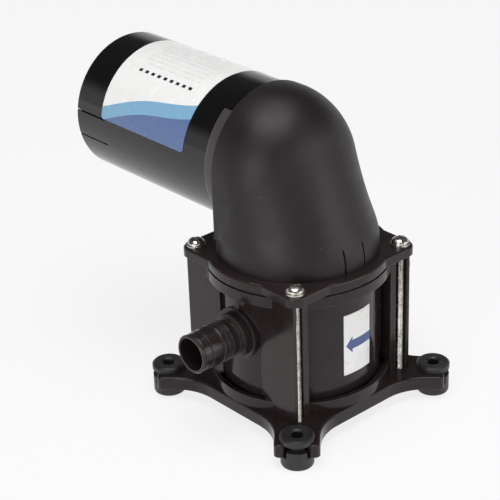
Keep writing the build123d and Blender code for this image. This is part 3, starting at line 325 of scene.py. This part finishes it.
def bright_metal(name, colour, tarnish, roughness, mark_mm, stretch=(1, 1, 1)):
    """Solid metal: two tones of one colour, with tool marks drawn out along an axis.

    Real tool marks are hundredths of a millimetre apart, so they are drawn mark_mm apart.
    """
    tarnish_mm, tarnish_cut = 3.0, (0.35, 0.7)
    material, tree = empty_material(name)
    place = add_node(tree, "ShaderNodeTexCoord").outputs["Object"]
    drawn_out = add_node(tree, "ShaderNodeMapping", {"Vector": place, "Scale": stretch})
    marks = add_node(tree, "ShaderNodeTexNoise", {"Vector": drawn_out, "Detail": 3.0,
                                                  "Scale": 1 / (mark_mm * MM)})
    rounded = add_node(tree, "ShaderNodeBevel", {"Radius": 0.15 * MM}, samples=4)
    bump = add_node(tree, "ShaderNodeBump", {"Height": marks, "Strength": 0.15,
                                             "Distance": 0.03 * MM, "Normal": rounded})
    dulled = cloud(tree, place, tarnish_mm, tarnish_cut, detail=3.0)
    two_tone = add_node(tree, "ShaderNodeMix", {"Factor": dulled, COLOUR_A: linear(colour),
                                                COLOUR_B: linear(tarnish)},
                        data_type="RGBA")
    polish = add_node(tree, "ShaderNodeMapRange", {"Value": marks, "From Min": mid_noise[0],
                                                   "From Max": mid_noise[1],
                                                   "To Min": roughness - 0.06,
                                                   "To Max": roughness + 0.08})
    skin = add_node(tree, "ShaderNodeBsdfPrincipled",
                    {"Base Color": two_tone, "Metallic": 1.0, "Roughness": polish,
                     "Normal": bump})
    add_node(tree, "ShaderNodeOutputMaterial", {"Surface": skin})
    return material


def grid_quads(rows, columns):
    """Quads of a grid numbered along its rows, whose last column joins the first."""
    number = np.arange(rows * columns).reshape(rows, columns)
    number = np.concatenate([number, number[:, :1]], axis=1)
    return np.stack([number[:-1, :-1], number[:-1, 1:], number[1:, 1:], number[1:, :-1]],
                    axis=-1).reshape(-1, 4).tolist()


def joined(meshes):
    """Points and faces of several meshes as one: each mesh counts on from the last."""
    all_points, all_faces, start = [], [], 0
    for points, faces in meshes:
        all_points.append(points.reshape(-1, 3))
        all_faces += [[corner + start for corner in face] for face in faces]
        start += len(all_points[-1])
    return np.concatenate(all_points), all_faces


sharp_angle = math.radians(35)


def add_piece(name, points, faces, material, body):
    """A mesh object at the origin from points in metres and faces, smooth but for edges."""
    mesh = bpy.data.meshes.new(name)
    mesh.from_pydata(points.tolist(), [], faces)
    mesh.validate()
    mesh.materials.append(material)
    mesh.shade_smooth()
    mesh.set_sharp_from_angle(angle=sharp_angle)
    piece = bpy.data.objects.new(name, mesh)
    bpy.context.scene.collection.objects.link(piece)
    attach(piece, body)
    return piece


def face_outwards(piece):
    """Merges the doubles of a mesh and turns each of its closed parts to face outwards."""
    made = bmesh.new()
    made.from_mesh(piece.data)
    bmesh.ops.remove_doubles(made, verts=made.verts, dist=0.002 * MM)
    bmesh.ops.recalc_face_normals(made, faces=made.faces)
    made.to_mesh(piece.data)
    made.free()


screw_low, screw_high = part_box("tie_screws")
washer_low, washer_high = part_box("tie_washers")
head_r = 4.3 * MM
screw_offset = screw_high[0] - head_r
crown_z, crown_drop = screw_high[2], 1.7 * MM
head_seat_z = washer_high[2]
slot_half, slot_depth = 0.55 * MM, 1.3 * MM
thread_r, thread_depth, thread_pitch = 2.1 * MM, 0.42 * MM, 0.7 * MM
crest_share = 0.2                            # the part of each ridge that is a flat crest
rows_per_pitch, thread_sides = 6, 20
side_columns, lap_points = 10, 25

# Head: columns run across the slot, and each column is a loop over the crown and back
# along the seat. The crown falls from the middle with the fourth power of the radius.
left = -slot_half - (head_r - slot_half) * (1 - np.linspace(0, 1, side_columns) ** 2)
column_x = np.concatenate([left, [-slot_half, slot_half], -left[::-1]])[:, None]
in_slot = np.repeat([False, True, False], [side_columns, 2, side_columns])[:, None]
chord = np.sqrt(np.maximum(head_r ** 2 - column_x ** 2, 0))
over_y = chord * np.sin(np.linspace(-math.pi / 2, math.pi / 2, lap_points))
radius = np.minimum(np.hypot(column_x, over_y) / head_r, 1.0)
over_z = crown_z - crown_drop * radius ** 4
over_z = np.where(in_slot, np.minimum(over_z, crown_z - slot_depth), over_z)
seat_z = np.full_like(over_z, head_seat_z)
head_points = np.stack([np.repeat(column_x, 2 * lap_points, axis=1),
                        np.concatenate([over_y, over_y[:, ::-1]], axis=1),
                        np.concatenate([over_z, seat_z], axis=1)], axis=-1)
head_faces = grid_quads(len(column_x), 2 * lap_points)

# Thread: the radius rises and falls once a pitch, and starts later the further round.
rows = int((head_seat_z - screw_low[2]) / thread_pitch * rows_per_pitch)
level = np.linspace(screw_low[2], head_seat_z, rows)[:, None]
round_angle = np.linspace(0, 2 * math.pi, thread_sides, endpoint=False)[None, :]
phase = (level / thread_pitch - round_angle / (2 * math.pi)) % 1.0
ridge = np.clip((1 - np.abs(2 * phase - 1)) / (1 - crest_share), 0, 1)
rod_r = thread_r - thread_depth * (1 - ridge)
rod_points = np.stack([rod_r * np.cos(round_angle), rod_r * np.sin(round_angle),
                       np.broadcast_to(level, rod_r.shape)], axis=-1)
rod_faces = grid_quads(rows, thread_sides)
rod_faces += [list(range(thread_sides))[::-1],
              list(range((rows - 1) * thread_sides, rows * thread_sides))]
screw_points, screw_faces = joined([(head_points, head_faces), (rod_points, rod_faces)])


def turned_screw(side_x, side_y):
    """One screw moved to its corner; its slot points 85 or -25 degrees round from X."""
    turn = math.radians(30 + 55 * side_x * side_y)
    flat = screw_points[:, :2] @ np.array([[math.cos(turn), math.sin(turn)],
                                           [-math.sin(turn), math.cos(turn)]])
    flat = flat + screw_offset * np.array([side_x, side_y])
    return np.column_stack([flat, screw_points[:, 2]]), screw_faces


# Bright, slightly yellow steel, its sheen drawn out along the screws by thread rolling.
stainless = bright_metal("stainless_steel_a2_rolled", "#D9D7D2", "#B5B1A9", roughness=0.22,
                         mark_mm=0.6, stretch=(1, 1, 0.25))
four_screws = joined([turned_screw(*side) for side in ((-1, -1), (-1, 1), (1, -1), (1, 1))])
tie_screws = add_piece("tie_screws_threaded", *four_screws, stainless, "pump")
face_outwards(tie_screws)
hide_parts("tie_screws")
coat(stainless, "tie_washers", "rear_cap_screws")

# ---------------------------------------------------------------------------------------
# Elbow hood: one satin nylon moulding that turns the drive from the vertical body to the
# level motor. It clips over the head ring and ends in a lip round the motor sleeve.
# ---------------------------------------------------------------------------------------
hood_low, hood_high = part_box("elbow_hood")
sleeve_low, sleeve_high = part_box("motor_sleeve")
shaft_z = (sleeve_low[2] + sleeve_high[2]) / 2
sleeve_r = (sleeve_high[2] - sleeve_low[2]) / 2
hood_r = -hood_low[1]
skirt_low = hood_low[2]
skirt_top = skirt_low + 9.0 * MM
mouth_y, mouth_r = 19.0 * MM, 38.3 * MM
inner_round = 0.6 * MM
lean, lean_rise = math.radians(24.0), 51.0 * MM
wall, mouth_wall = 3.2 * MM, 1.4 * MM
turn_rows, skirt_rows, leg_points, arch_points = 72, 9, 14, 60
first_out, first_up, second_up = 0.62, 0.3, 0.62     # shares that set a leg's middle points
ease_first, ease_last, ease_passes = 2, skirt_rows + 14, 40

chord_half = math.sqrt(hood_r ** 2 - (mouth_y - inner_round) ** 2)
skirt_reach = mouth_y + hood_r
mouth_reach = shaft_z + mouth_r - skirt_top
lean_end = skirt_reach - lean_rise * math.tan(lean)
crown_r = (mouth_reach - lean_rise) / (1 - math.sin(lean))
crown_centre = lean_end - crown_r * math.cos(lean)
crown_height = mouth_reach - crown_r


def hood_reach(turn):
    """Distance from the inner corner to the front: a leaning wall, a round, a level top."""
    on_wall = skirt_reach / (np.cos(turn) + np.sin(turn) * math.tan(lean))
    along = crown_centre * np.cos(turn) + crown_height * np.sin(turn)
    apart = crown_centre ** 2 + crown_height ** 2 - crown_r ** 2
    on_crown = along + np.sqrt(np.maximum(along ** 2 - apart, 0))
    on_top = mouth_reach / np.maximum(np.sin(turn), 1e-6)
    above_wall = on_wall * np.sin(turn) > lean_rise
    past_crown = on_crown * np.cos(turn) < crown_centre
    return np.where(above_wall, np.where(past_crown, on_top, on_crown), on_wall)


def leg_curve(start, middle_1, middle_2, end, count):
    """A cubic curve between start and end that leaves and arrives towards the middles."""
    s = np.linspace(0, 1, count)[None, :, None]
    return ((1 - s) ** 3 * start + 3 * (1 - s) ** 2 * s * middle_1
            + 3 * (1 - s) * s ** 2 * middle_2 + s ** 3 * end)


def hood_skin():
    """Rows from the skirt to the mouth, each an arch: a leg, a half circle and a leg."""
    turn = np.linspace(0, math.pi / 2, turn_rows)
    part = turn / (math.pi / 2)
    arch_r = hood_r + (mouth_r - hood_r) * part
    centre = hood_reach(turn) - arch_r
    foot = chord_half + (mouth_r - chord_half) * part

    def at(across, out):
        return np.stack([across, np.broadcast_to(out, across.shape)], axis=-1)[:, None, :]

    leg = leg_curve(at(foot, inner_round),
                    at(foot + (arch_r - foot) * first_out, centre * first_up),
                    at(arch_r, centre * second_up), at(arch_r, centre), leg_points)
    bend = np.linspace(0, math.pi, arch_points)[None, 1:-1]
    arch = np.stack([arch_r[:, None] * np.cos(bend),
                     centre[:, None] + arch_r[:, None] * np.sin(bend)], axis=-1)
    section = np.concatenate([leg, arch, leg[:, ::-1] * np.array([-1, 1])], axis=1)
    across, out = section[..., 0], section[..., 1]
    elbow = np.stack([across, mouth_y - out * np.cos(turn)[:, None],
                      skirt_top + out * np.sin(turn)[:, None]], axis=-1)
    skirt = np.broadcast_to(elbow[:1], (skirt_rows, *elbow.shape[1:])).copy()
    skirt[..., 2] = np.linspace(skirt_low, skirt_top, skirt_rows, endpoint=False)[:, None]
    return np.concatenate([skirt, elbow])


def eased(skin, first, last, passes):
    """Rows first to last, moved in each pass halfway to the mean of their neighbours."""
    for _ in range(passes):
        before, after = skin[first - 1:last - 1], skin[first + 1:last + 1]
        mean = (before + 2 * skin[first:last] + after) / 4
        skin = np.concatenate([skin[:first], mean, skin[last:]])
    return skin


def wall_inside(skin):
    """The skin moved in along its normals by the wall, which thins towards the mouth."""
    out = np.cross(np.gradient(skin, axis=1), np.gradient(skin, axis=0))
    out /= np.linalg.norm(out, axis=-1, keepdims=True)
    from_middle = skin - skin.mean(axis=1, keepdims=True)
    out *= np.sign(np.sum(out * from_middle, axis=(1, 2)))[:, None, None]
    share = np.clip(np.linspace(-2.0, 1.0, len(skin)), 0, 1)[:, None, None]
    return skin - out * (wall + (mouth_wall - wall) * share)


def closed_slab(outer, inner):
    """Points and faces of a slab between two grids of points of the same shape."""
    both = np.concatenate([outer, inner[:, ::-1]], axis=1)
    rows, columns = both.shape[:2]
    faces = grid_quads(rows, columns)
    for row in (0, rows - 1):
        ring = np.arange(columns) + row * columns
        near, far = ring[:columns // 2], ring[columns // 2:][::-1]
        faces += np.stack([near[:-1], near[1:], far[1:], far[:-1]], axis=-1).tolist()
    return both, faces


# Rear wall: part of an upright ring that stands under the sleeve, and a pad on top of it
# that hugs the sleeve. The ring runs up into the pad, and the pad into the mouth.
rear_r, rear_wall = hood_r - 0.2 * MM, 3.0 * MM
pad_r, pad_end_r = mouth_r + 1.2 * MM, hood_r - 0.4 * MM
ring_lap, mouth_lap = 0.8 * MM, 2.0 * MM
fit, close_fit = 0.1 * MM, 0.05 * MM
swing = np.radians(np.linspace(-67, 67, 61))
rise = np.linspace(0, 1, 12)[:, None]


def rear_ring(r):
    """The ring at radius r: each upright runs from the skirt's foot to the sleeve's pad."""
    x = r * np.sin(swing)
    top = shaft_z - np.sqrt(np.maximum((pad_r - ring_lap) ** 2 - x ** 2, 0))
    z = skirt_low + rise * (top - skirt_low)[None, :]
    return np.stack(np.broadcast_arrays(x, r * np.cos(swing), z), axis=-1)


def sleeve_pad(r):
    """A pad at radius r about the shaft, from inside the mouth to the hood's round end."""
    x = r * np.sin(swing)
    start = mouth_y - mouth_lap
    end = np.sqrt(np.maximum(pad_end_r ** 2 - x ** 2, start ** 2))
    y = start + np.linspace(0, 1, 8)[:, None] * (end - start)[None, :]
    return np.stack(np.broadcast_arrays(x, y, shaft_z - r * np.cos(swing)), axis=-1)


# Lip: a thin collar round the sleeve, open at the top, that thins towards its free edge.
lip_swing = np.radians(np.linspace(37, 323, 121))
lip_r = mouth_r - 0.7 * MM
lip_run = np.array([-3.0, 0.0, 3.0, 5.6, 6.2, 6.5])[:, None] * MM
lip_fall = np.array([0.0, 0.0, 0.0, 0.0, 0.15, 0.45])[:, None] * MM


def sleeve_lip(r):
    """The lip at radius r about the shaft: one radius for all its rows, or one for each."""
    x, z = r * np.sin(lip_swing), shaft_z + r * np.cos(lip_swing)
    return np.stack(np.broadcast_arrays(x, mouth_y + lip_run, z), axis=-1)


# End walls: close the two corners between the mouth's legs and the round of the sleeve,
# and stop short of the legs' outside.
leg_inset = 0.5 * MM


def end_wall(side, y):
    """The corner between the mouth's leg and the sleeve's round, on one side, at one y."""
    z = np.linspace(skirt_top + inner_round, shaft_z, 16)[:, None]
    near = np.sqrt(np.maximum((sleeve_r + fit) ** 2 - (z - shaft_z) ** 2, 0))
    x = side * (near + np.linspace(0, 1, 4)[None, :] * (mouth_r - leg_inset - near))
    return np.stack(np.broadcast_arrays(x, y, z), axis=-1)


skin = eased(hood_skin(), ease_first, ease_last, ease_passes)
hood_parts = [closed_slab(skin, wall_inside(skin)),
              closed_slab(rear_ring(rear_r), rear_ring(rear_r - rear_wall)),
              closed_slab(sleeve_pad(pad_r), sleeve_pad(sleeve_r + fit)),
              closed_slab(sleeve_lip(lip_r - lip_fall), sleeve_lip(sleeve_r + close_fit))]
hood_parts += [closed_slab(end_wall(side, mouth_y), end_wall(side, mouth_y - rear_wall))
               for side in (1, -1)]

# Satin nylon: near-black with a broad, soft highlight, from a spark-eroded mould. The lip
# is bare of that texture, so past the mouth it is greyer and shinier.
hood_nylon = moulded_plastic("satin_nylon_moulded", "#150F11", "#1D1618", "#372F31",
                             roughness=0.46, grain_mm=0.7, grain_depth=0.14, edge_mm=0.5,
                             gloss=0.38)
bare_from, bare_to = mouth_y - 0.3 * MM, mouth_y + 0.6 * MM
bare_most, bare_shine = 0.75, -0.2
tree = hood_nylon.node_tree
place = add_node(tree, "ShaderNodeTexCoord").outputs["Object"]
depth = add_node(tree, "ShaderNodeSeparateXYZ", {0: place}).outputs["Y"]
bare = add_node(tree, "ShaderNodeMapRange", {"Value": depth, "From Min": bare_from,
                                             "From Max": bare_to, "To Max": bare_most})
finish = tree.nodes["Principled BSDF"].inputs
textured_colour, textured_sheen = (finish[name].links[0].from_socket
                                   for name in ("Base Color", "Roughness"))
bare_colour = add_node(tree, "ShaderNodeMix", {"Factor": bare, COLOUR_A: textured_colour,
                                               COLOUR_B: linear("#4B4748")},
                       data_type="RGBA")
bare_sheen = add_node(tree, "ShaderNodeMath", {0: bare, 1: bare_shine, 2: textured_sheen},
                      operation="MULTIPLY_ADD")
tree.links.new(bare_colour.outputs[2], finish["Base Color"])
tree.links.new(bare_sheen.outputs[0], finish["Roughness"])
hood = add_piece("elbow_hood_moulding", *joined(hood_parts), hood_nylon, "pump")
face_outwards(hood)


def cut_slots(piece, boxes):
    """Cuts boxes, each a lowest and a highest corner, out of a piece for good."""
    cube = [[0, 3, 2, 1], [4, 5, 6, 7], [0, 1, 5, 4], [1, 2, 6, 5], [2, 3, 7, 6],
            [3, 0, 4, 7]]
    corners = [np.array([(x, y, z) for z in (low[2], high[2])
                         for x, y in ((low[0], low[1]), (high[0], low[1]),
                                      (high[0], high[1]), (low[0], high[1]))])
               for low, high in boxes]
    points, faces = joined([(eight, cube) for eight in corners])
    mesh = bpy.data.meshes.new("cutter")
    mesh.from_pydata(points.tolist(), [], faces)
    cutter = bpy.data.objects.new("cutter", mesh)
    bpy.context.scene.collection.objects.link(cutter)
    cut = piece.modifiers.new("slots", "BOOLEAN")
    cut.operation = "DIFFERENCE"
    cut.solver = "EXACT"
    cut.use_self = True
    cut.object = cutter
    graph = bpy.context.evaluated_depsgraph_get()
    carved = bpy.data.meshes.new_from_object(piece.evaluated_get(graph))
    piece.modifiers.remove(cut)
    piece.data = carved
    bpy.data.objects.remove(cutter)
    carved.set_sharp_from_angle(angle=sharp_angle)


# Two slits let the front of the skirt spring over the head ring.
slit_half, slit_x, slit_top, slit_depth = 0.45 * MM, 6.4 * MM, 12.5 * MM, 9.0 * MM
cut_slots(hood, [((side * slit_x - slit_half, -hood_r - MM, skirt_low - MM),
                  (side * slit_x + slit_half, -hood_r + slit_depth, skirt_low + slit_top))
                 for side in (-1, 1)])
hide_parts("elbow_hood")

# ---------------------------------------------------------------------------------------
# Motor sleeve and rear cap: a moulded tube of gloss black ABS closed by a flat cap, with a
# nylon cable gland. Snap tongues are slit in each side of the tube at the rear.
# ---------------------------------------------------------------------------------------
# A true black with sharp, mirror-like streaks of light along the tube.
sleeve_abs = moulded_plastic("gloss_abs_moulded", "#0B0B0B", "#100F10", "#2A2829",
                             roughness=0.12, grain_mm=1.6, grain_depth=0.03, edge_mm=0.5,
                             gloss=0.55)
coat(sleeve_abs, "motor_sleeve", "rear_cap")

# Duller than the cap it is screwed into, with the grain of an ordinary mould.
nylon_black = moulded_plastic("nylon_66_moulded", "#181617", "#201D1E", "#353132",
                              roughness=0.36, grain_mm=0.6, grain_depth=0.1, edge_mm=0.3)
coat(nylon_black, "cable_gland")

# ---------------------------------------------------------------------------------------
# Labels: printed polyester film. The motor's label is white with a blue wave along one
# side; the flow label on the body is white with a plain blue arrow towards the outlet.
# ---------------------------------------------------------------------------------------


def film_sheet(name, half_width, low, high, corner, place, material):
    """A bent rectangle of film with round corners, wrapped by place(across, along, lift).

    Its ends draw in by a circle's rise within a corner's radius of each side.
    """
    corner_points, straight_points, along_points = 9, 48, 12
    bend = (1 - np.cos(np.linspace(0, math.pi / 2, corner_points))) * corner
    straight = np.linspace(-half_width + corner, half_width - corner, straight_points)[1:-1]
    across = np.concatenate([-half_width + bend, straight, half_width - bend[::-1]])
    edge = np.minimum(half_width - np.abs(across), corner)
    draw_in = corner - np.sqrt(np.maximum(corner ** 2 - (corner - edge) ** 2, 0))
    part = np.linspace(0, 1, along_points)[None, :]
    along = (low + draw_in)[:, None] + part * (high - low - 2 * draw_in)[:, None]
    wide = np.broadcast_to(across[:, None], along.shape)
    points, faces = joined([closed_slab(place(wide, along, film_thickness),
                                        place(wide, along, 0.0))])
    piece = add_piece(name, points, faces, material, "pump")
    flat = np.stack([wide, along], axis=-1)
    flat = np.concatenate([flat, flat[:, ::-1]], axis=1).reshape(-1, 2) / MM
    corners = np.zeros(len(piece.data.loops), int)
    piece.data.loops.foreach_get("vertex_index", corners)
    uv = piece.data.uv_layers.new(name="flat_sheet")
    uv.data.foreach_set("uv", flat[corners].ravel())
    face_outwards(piece)
    return piece


def film_parts(name):
    """The start of a film material: its tree and the sheet's own across and along in mm."""
    material, tree = empty_material(name)
    flat = add_node(tree, "ShaderNodeUVMap", uv_map="flat_sheet")
    parts = add_node(tree, "ShaderNodeSeparateXYZ", {0: flat}).outputs
    return material, tree, parts["X"], parts["Y"]


def film_finish(tree, colour, roughness):
    """Clear-varnished film over its print: faint soil, mottled gloss, a little ripple."""
    ripple_mm, ripple_height, soil_mm, gloss_mm = 3.0, 0.05 * MM, 6.0, 8.0
    soil_cut, soil_span, soil_grey = (0.45, 0.8), (0.0, 0.08), "#8F8C88"
    place = add_node(tree, "ShaderNodeTexCoord").outputs["Object"]
    ripple = add_node(tree, "ShaderNodeTexNoise", {"Vector": place, "Detail": 3.0,
                                                   "Scale": 1 / (ripple_mm * MM)})
    bump = add_node(tree, "ShaderNodeBump", {"Height": ripple, "Strength": 0.05,
                                             "Distance": ripple_height})
    soil = cloud(tree, place, soil_mm, soil_cut, detail=4.0, span=soil_span)
    soiled = add_node(tree, "ShaderNodeMix", {"Factor": soil, COLOUR_A: colour,
                                              COLOUR_B: linear(soil_grey)},
                      data_type="RGBA")
    gloss = cloud(tree, place, gloss_mm, span=(roughness - 0.04, roughness + 0.05))
    film = add_node(tree, "ShaderNodeBsdfPrincipled",
                    {"Base Color": soiled, "Roughness": gloss, "IOR": 1.5, "Normal": bump})
    add_node(tree, "ShaderNodeOutputMaterial", {"Surface": film})


def within(tree, value, span, mask):
    """mask where value lies between the ends of span, and 0 elsewhere."""
    above = add_node(tree, "ShaderNodeMath", {0: value, 1: span[0]},
                     operation="GREATER_THAN")
    below = add_node(tree, "ShaderNodeMath", {0: value, 1: span[1]}, operation="LESS_THAN")
    both = add_node(tree, "ShaderNodeMath", {0: above, 1: below}, operation="MULTIPLY")
    return add_node(tree, "ShaderNodeMath", {0: both, 1: mask}, operation="MULTIPLY")


def dashes(tree, value, pitch_mm, share):
    """1 on the first share of every pitch along value."""
    pitches = add_node(tree, "ShaderNodeMath", {0: value, 1: pitch_mm}, operation="DIVIDE")
    part = add_node(tree, "ShaderNodeMath", {0: pitches}, operation="FRACT")
    return add_node(tree, "ShaderNodeMath", {0: part, 1: share}, operation="LESS_THAN")


film_thickness = 0.15 * MM
label_low, label_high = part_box("motor_label")
label_half_angle = math.radians(81.5)
degree = math.radians(1) * sleeve_r / MM     # mm of film for a degree round the sleeve
wave_length, wave_start, wave_sway = 70, 0.6, 1.3
square_pitch, square_share = 4.83, 0.5       # from here on in mm of film
squares_across, squares_along = (-21.6, -19.8), (53.0, 94.3)
rule_pitch, rule_share, rule_ink = 3.2, 0.16, 0.5
rules_across, rules_along = (-16.5, 34.0), (52.0, 96.0)
word_mm, word_cut = 1.6, 0.47

# White gloss film with crisp blues and a row of black squares. Faint grey rules stand in
# for small print, 3.2 mm apart and broken as words are: real print is too fine to show.
motor_film, tree, across, along = film_parts("polyester_film_printed_wave")


def below_wave(rear_degrees, rear_y, front_degrees, front_y):
    """1 from the sheet's lower edge up to a line, rear to front, that a sine sways."""
    slope = (front_degrees - rear_degrees) * degree / (front_y - rear_y)
    line = add_node(tree, "ShaderNodeMath",
                    {0: along, 1: slope, 2: rear_degrees * degree - slope * rear_y},
                    operation="MULTIPLY_ADD")
    phase = add_node(tree, "ShaderNodeMath",
                     {0: along, 1: 2 * math.pi / wave_length, 2: wave_start},
                     operation="MULTIPLY_ADD")
    sway = add_node(tree, "ShaderNodeMath", {0: phase}, operation="SINE")
    edge = add_node(tree, "ShaderNodeMath", {0: sway, 1: wave_sway, 2: line},
                    operation="MULTIPLY_ADD")
    return add_node(tree, "ShaderNodeMath", {0: across, 1: edge}, operation="LESS_THAN")


squares = dashes(tree, along, square_pitch, square_share)
squares = within(tree, along, squares_along, squares)
squares = within(tree, across, squares_across, squares)
place = add_node(tree, "ShaderNodeTexCoord").outputs["Object"]
words = add_node(tree, "ShaderNodeTexNoise", {"Vector": place, "Detail": 1.0,
                                              "Scale": 1 / (word_mm * MM)})
broken = add_node(tree, "ShaderNodeMath", {0: words, 1: word_cut}, operation="GREATER_THAN")
rules = within(tree, across, rules_across, dashes(tree, across, rule_pitch, rule_share))
rules = add_node(tree, "ShaderNodeMath", {0: rules, 1: broken}, operation="MULTIPLY")
rules = within(tree, along, rules_along, rules)
rules = add_node(tree, "ShaderNodeMath", {0: rules, 1: rule_ink}, operation="MULTIPLY")
label_white = "#EDEDEC"
colour = linear(label_white)
for mask, ink in ((below_wave(-64, 94, -42, 45), "#7FADCC"),
                  (below_wave(-80, 105, -56, 50), "#5B719E"),
                  (squares, "#202022"), (rules, "#A9AAAF")):
    colour = add_node(tree, "ShaderNodeMix", {"Factor": mask, COLOUR_A: colour,
                                              COLOUR_B: linear(ink)}, data_type="RGBA")
film_finish(tree, colour, roughness=0.24)


def round_sleeve(across_sheet, along_sheet, lift):
    """Wraps the sheet round the sleeve: across is arc length from the top, along is Y."""
    angle = across_sheet / sleeve_r
    r = sleeve_r + lift
    return np.stack([r * np.sin(angle), along_sheet, shaft_z + r * np.cos(angle)], axis=-1)


motor_label = film_sheet("motor_label_film", label_half_angle * sleeve_r, label_low[1],
                         label_high[1], 2.0 * MM, round_sleeve, motor_film)
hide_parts("motor_label")

# The same film a little duller, with one arrow: a triangle's tip, then a plain stem.
flow_film, tree, across, along = film_parts("polyester_film_printed_arrow")
flow_low, flow_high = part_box("flow_label")
body_r = -flow_low[1] - film_thickness
flow_half = (flow_high[0] - flow_low[0]) / 2
flow_middle = (flow_high[0] + flow_low[0]) / 2
arrow_z = (flow_low[2] + flow_high[2]) / 2 / MM - 0.5
head_across, head_slope = (-8.0, -3.9), 1.15
stem_across, stem_half = (-4.4, 9.3), 2.5
off_axis = add_node(tree, "ShaderNodeMath", {0: along, 1: arrow_z}, operation="SUBTRACT")
off_axis = add_node(tree, "ShaderNodeMath", {0: off_axis}, operation="ABSOLUTE")
from_tip = add_node(tree, "ShaderNodeMath", {0: across, 1: head_across[0]},
                    operation="SUBTRACT")
head_edge = add_node(tree, "ShaderNodeMath", {0: from_tip, 1: head_slope},
                     operation="MULTIPLY")
in_head = add_node(tree, "ShaderNodeMath", {0: off_axis, 1: head_edge},
                   operation="LESS_THAN")
in_stem = add_node(tree, "ShaderNodeMath", {0: off_axis, 1: stem_half},
                   operation="LESS_THAN")
arrow = add_node(tree, "ShaderNodeMath",
                 {0: within(tree, across, head_across, in_head),
                  1: within(tree, across, stem_across, in_stem)},
                 operation="MAXIMUM")
colour = add_node(tree, "ShaderNodeMix", {"Factor": arrow, COLOUR_A: linear(label_white),
                                          COLOUR_B: linear("#46588C")}, data_type="RGBA")
film_finish(tree, colour, roughness=0.3)


def round_body(across_sheet, along_sheet, lift):
    """Wraps the sheet round the body: across is arc length from its middle, along is Z."""
    angle = (across_sheet + flow_middle) / body_r
    r = body_r + lift
    return np.stack([r * np.sin(angle), -r * np.cos(angle), along_sheet], axis=-1)


flow_label = film_sheet("flow_label_film", flow_half, flow_low[2], flow_high[2], 0.4 * MM,
                        round_body, flow_film)
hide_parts("flow_label")

# ---------------------------------------------------------------------------------------
# Drive and motor, inside: bearing steel races and balls, bronze bushings, a zinc-plated
# can, laminated core, enamelled copper, ferrite magnets and carbon brushes.
# ---------------------------------------------------------------------------------------

# Turned brass: warm and clean. Sintered bronze: browner and duller, from its open pores.
brass = bright_metal("brass_turned", "#C9A25A", "#A98546", roughness=0.28, mark_mm=0.5)
bronze = bright_metal("sintered_bronze", "#A9793F", "#8A6234", roughness=0.45, mark_mm=0.8)
# Copper wire: orange-red, in fine lines round each coil.
copper = bright_metal("enamelled_copper_wound", "#B5622F", "#97481F", roughness=0.3,
                      mark_mm=0.45, stretch=(1, 0.15, 1))
# Zinc plate and cast aluminium: a bluish bright skin, and a flatter cloudy grey.
plated = bright_metal("zinc_plated_steel_drawn", "#C6C8C9", "#A6A9AC", roughness=0.3,
                      mark_mm=1.2)
cast_alloy = bright_metal("aluminium_die_cast", "#A3A4A6", "#87898C", roughness=0.42,
                          mark_mm=1.0)
# Ground steel: near-mirror. Laminated steel: dark grey, in lines across the shaft.
bearing_steel = bright_metal("bearing_steel_ground", "#C9CACC", "#B0B2B5", roughness=0.14,
                             mark_mm=0.4)
core_steel = bright_metal("silicon_steel_laminated", "#7A7C80", "#5E6065", roughness=0.4,
                          mark_mm=0.5, stretch=(0.1, 1, 0.1))
# Ferrite and carbon: dark greys without a metal's shine. Phenolic: dull brown.
ferrite = moulded_plastic("ferrite_pressed", "#2A2A2C", "#353537", "#4A4A4C", roughness=0.5,
                          grain_mm=0.6, grain_depth=0.2, edge_mm=0.3)
carbon = moulded_plastic("carbon_graphite_pressed", "#242426", "#303032", "#49494B",
                         roughness=0.45, grain_mm=0.4, grain_depth=0.2, edge_mm=0.2)
phenolic = moulded_plastic("phenolic_moulded", "#3A2417", "#472D1D", "#5E4130",
                           roughness=0.4, grain_mm=0.8, grain_depth=0.1, edge_mm=0.3)
# Natural nylon: a creamy white with soft edges.
rod_nylon = moulded_plastic("nylon_66_natural", "#C9C4B4", "#D5D0C1", "#DDD9CC",
                            roughness=0.4, grain_mm=0.8, grain_depth=0.1, edge_mm=0.5)
slot_finishes = {"body_plastic": body_plastic, "stainless": stainless, "brass": brass,
                 "bronze": bronze, "copper": copper, "plated_steel": plated,
                 "die_cast": cast_alloy, "bearing_steel": bearing_steel,
                 "core_steel": core_steel, "ferrite": ferrite, "carbon": carbon,
                 "phenolic": phenolic, "nylon": rod_nylon}
inner_names = ("connecting_rod", "rod_bearing_outer_race", "rod_bearing_inner_race",
               "rod_bearing_balls", "motor_mount_plate", "motor_front_bell",
               "motor_mount_screws", "front_bushing", "motor_can", "magnets",
               "armature_core", "windings", "commutator", "motor_shaft", "carbon_brushes",
               "brush_holders", "brush_springs", "motor_rear_bell", "rear_bushing",
               "motor_through_bolts", "eccentric", "eccentric_set_screw", "crank_washer",
               "crank_screw", "tie_nuts", "keeper_screws", "valve_plate_screws",
               "diaphragm_lower_plate", "diaphragm_upper_plate", "diaphragm_screw",
               "inlet_keeper", "outlet_keeper")
part_slots = {part["node"]: part["material_slot"] for part in frame["record"]["subparts"]}
for name in inner_names:
    coat(slot_finishes[part_slots[name]], name)
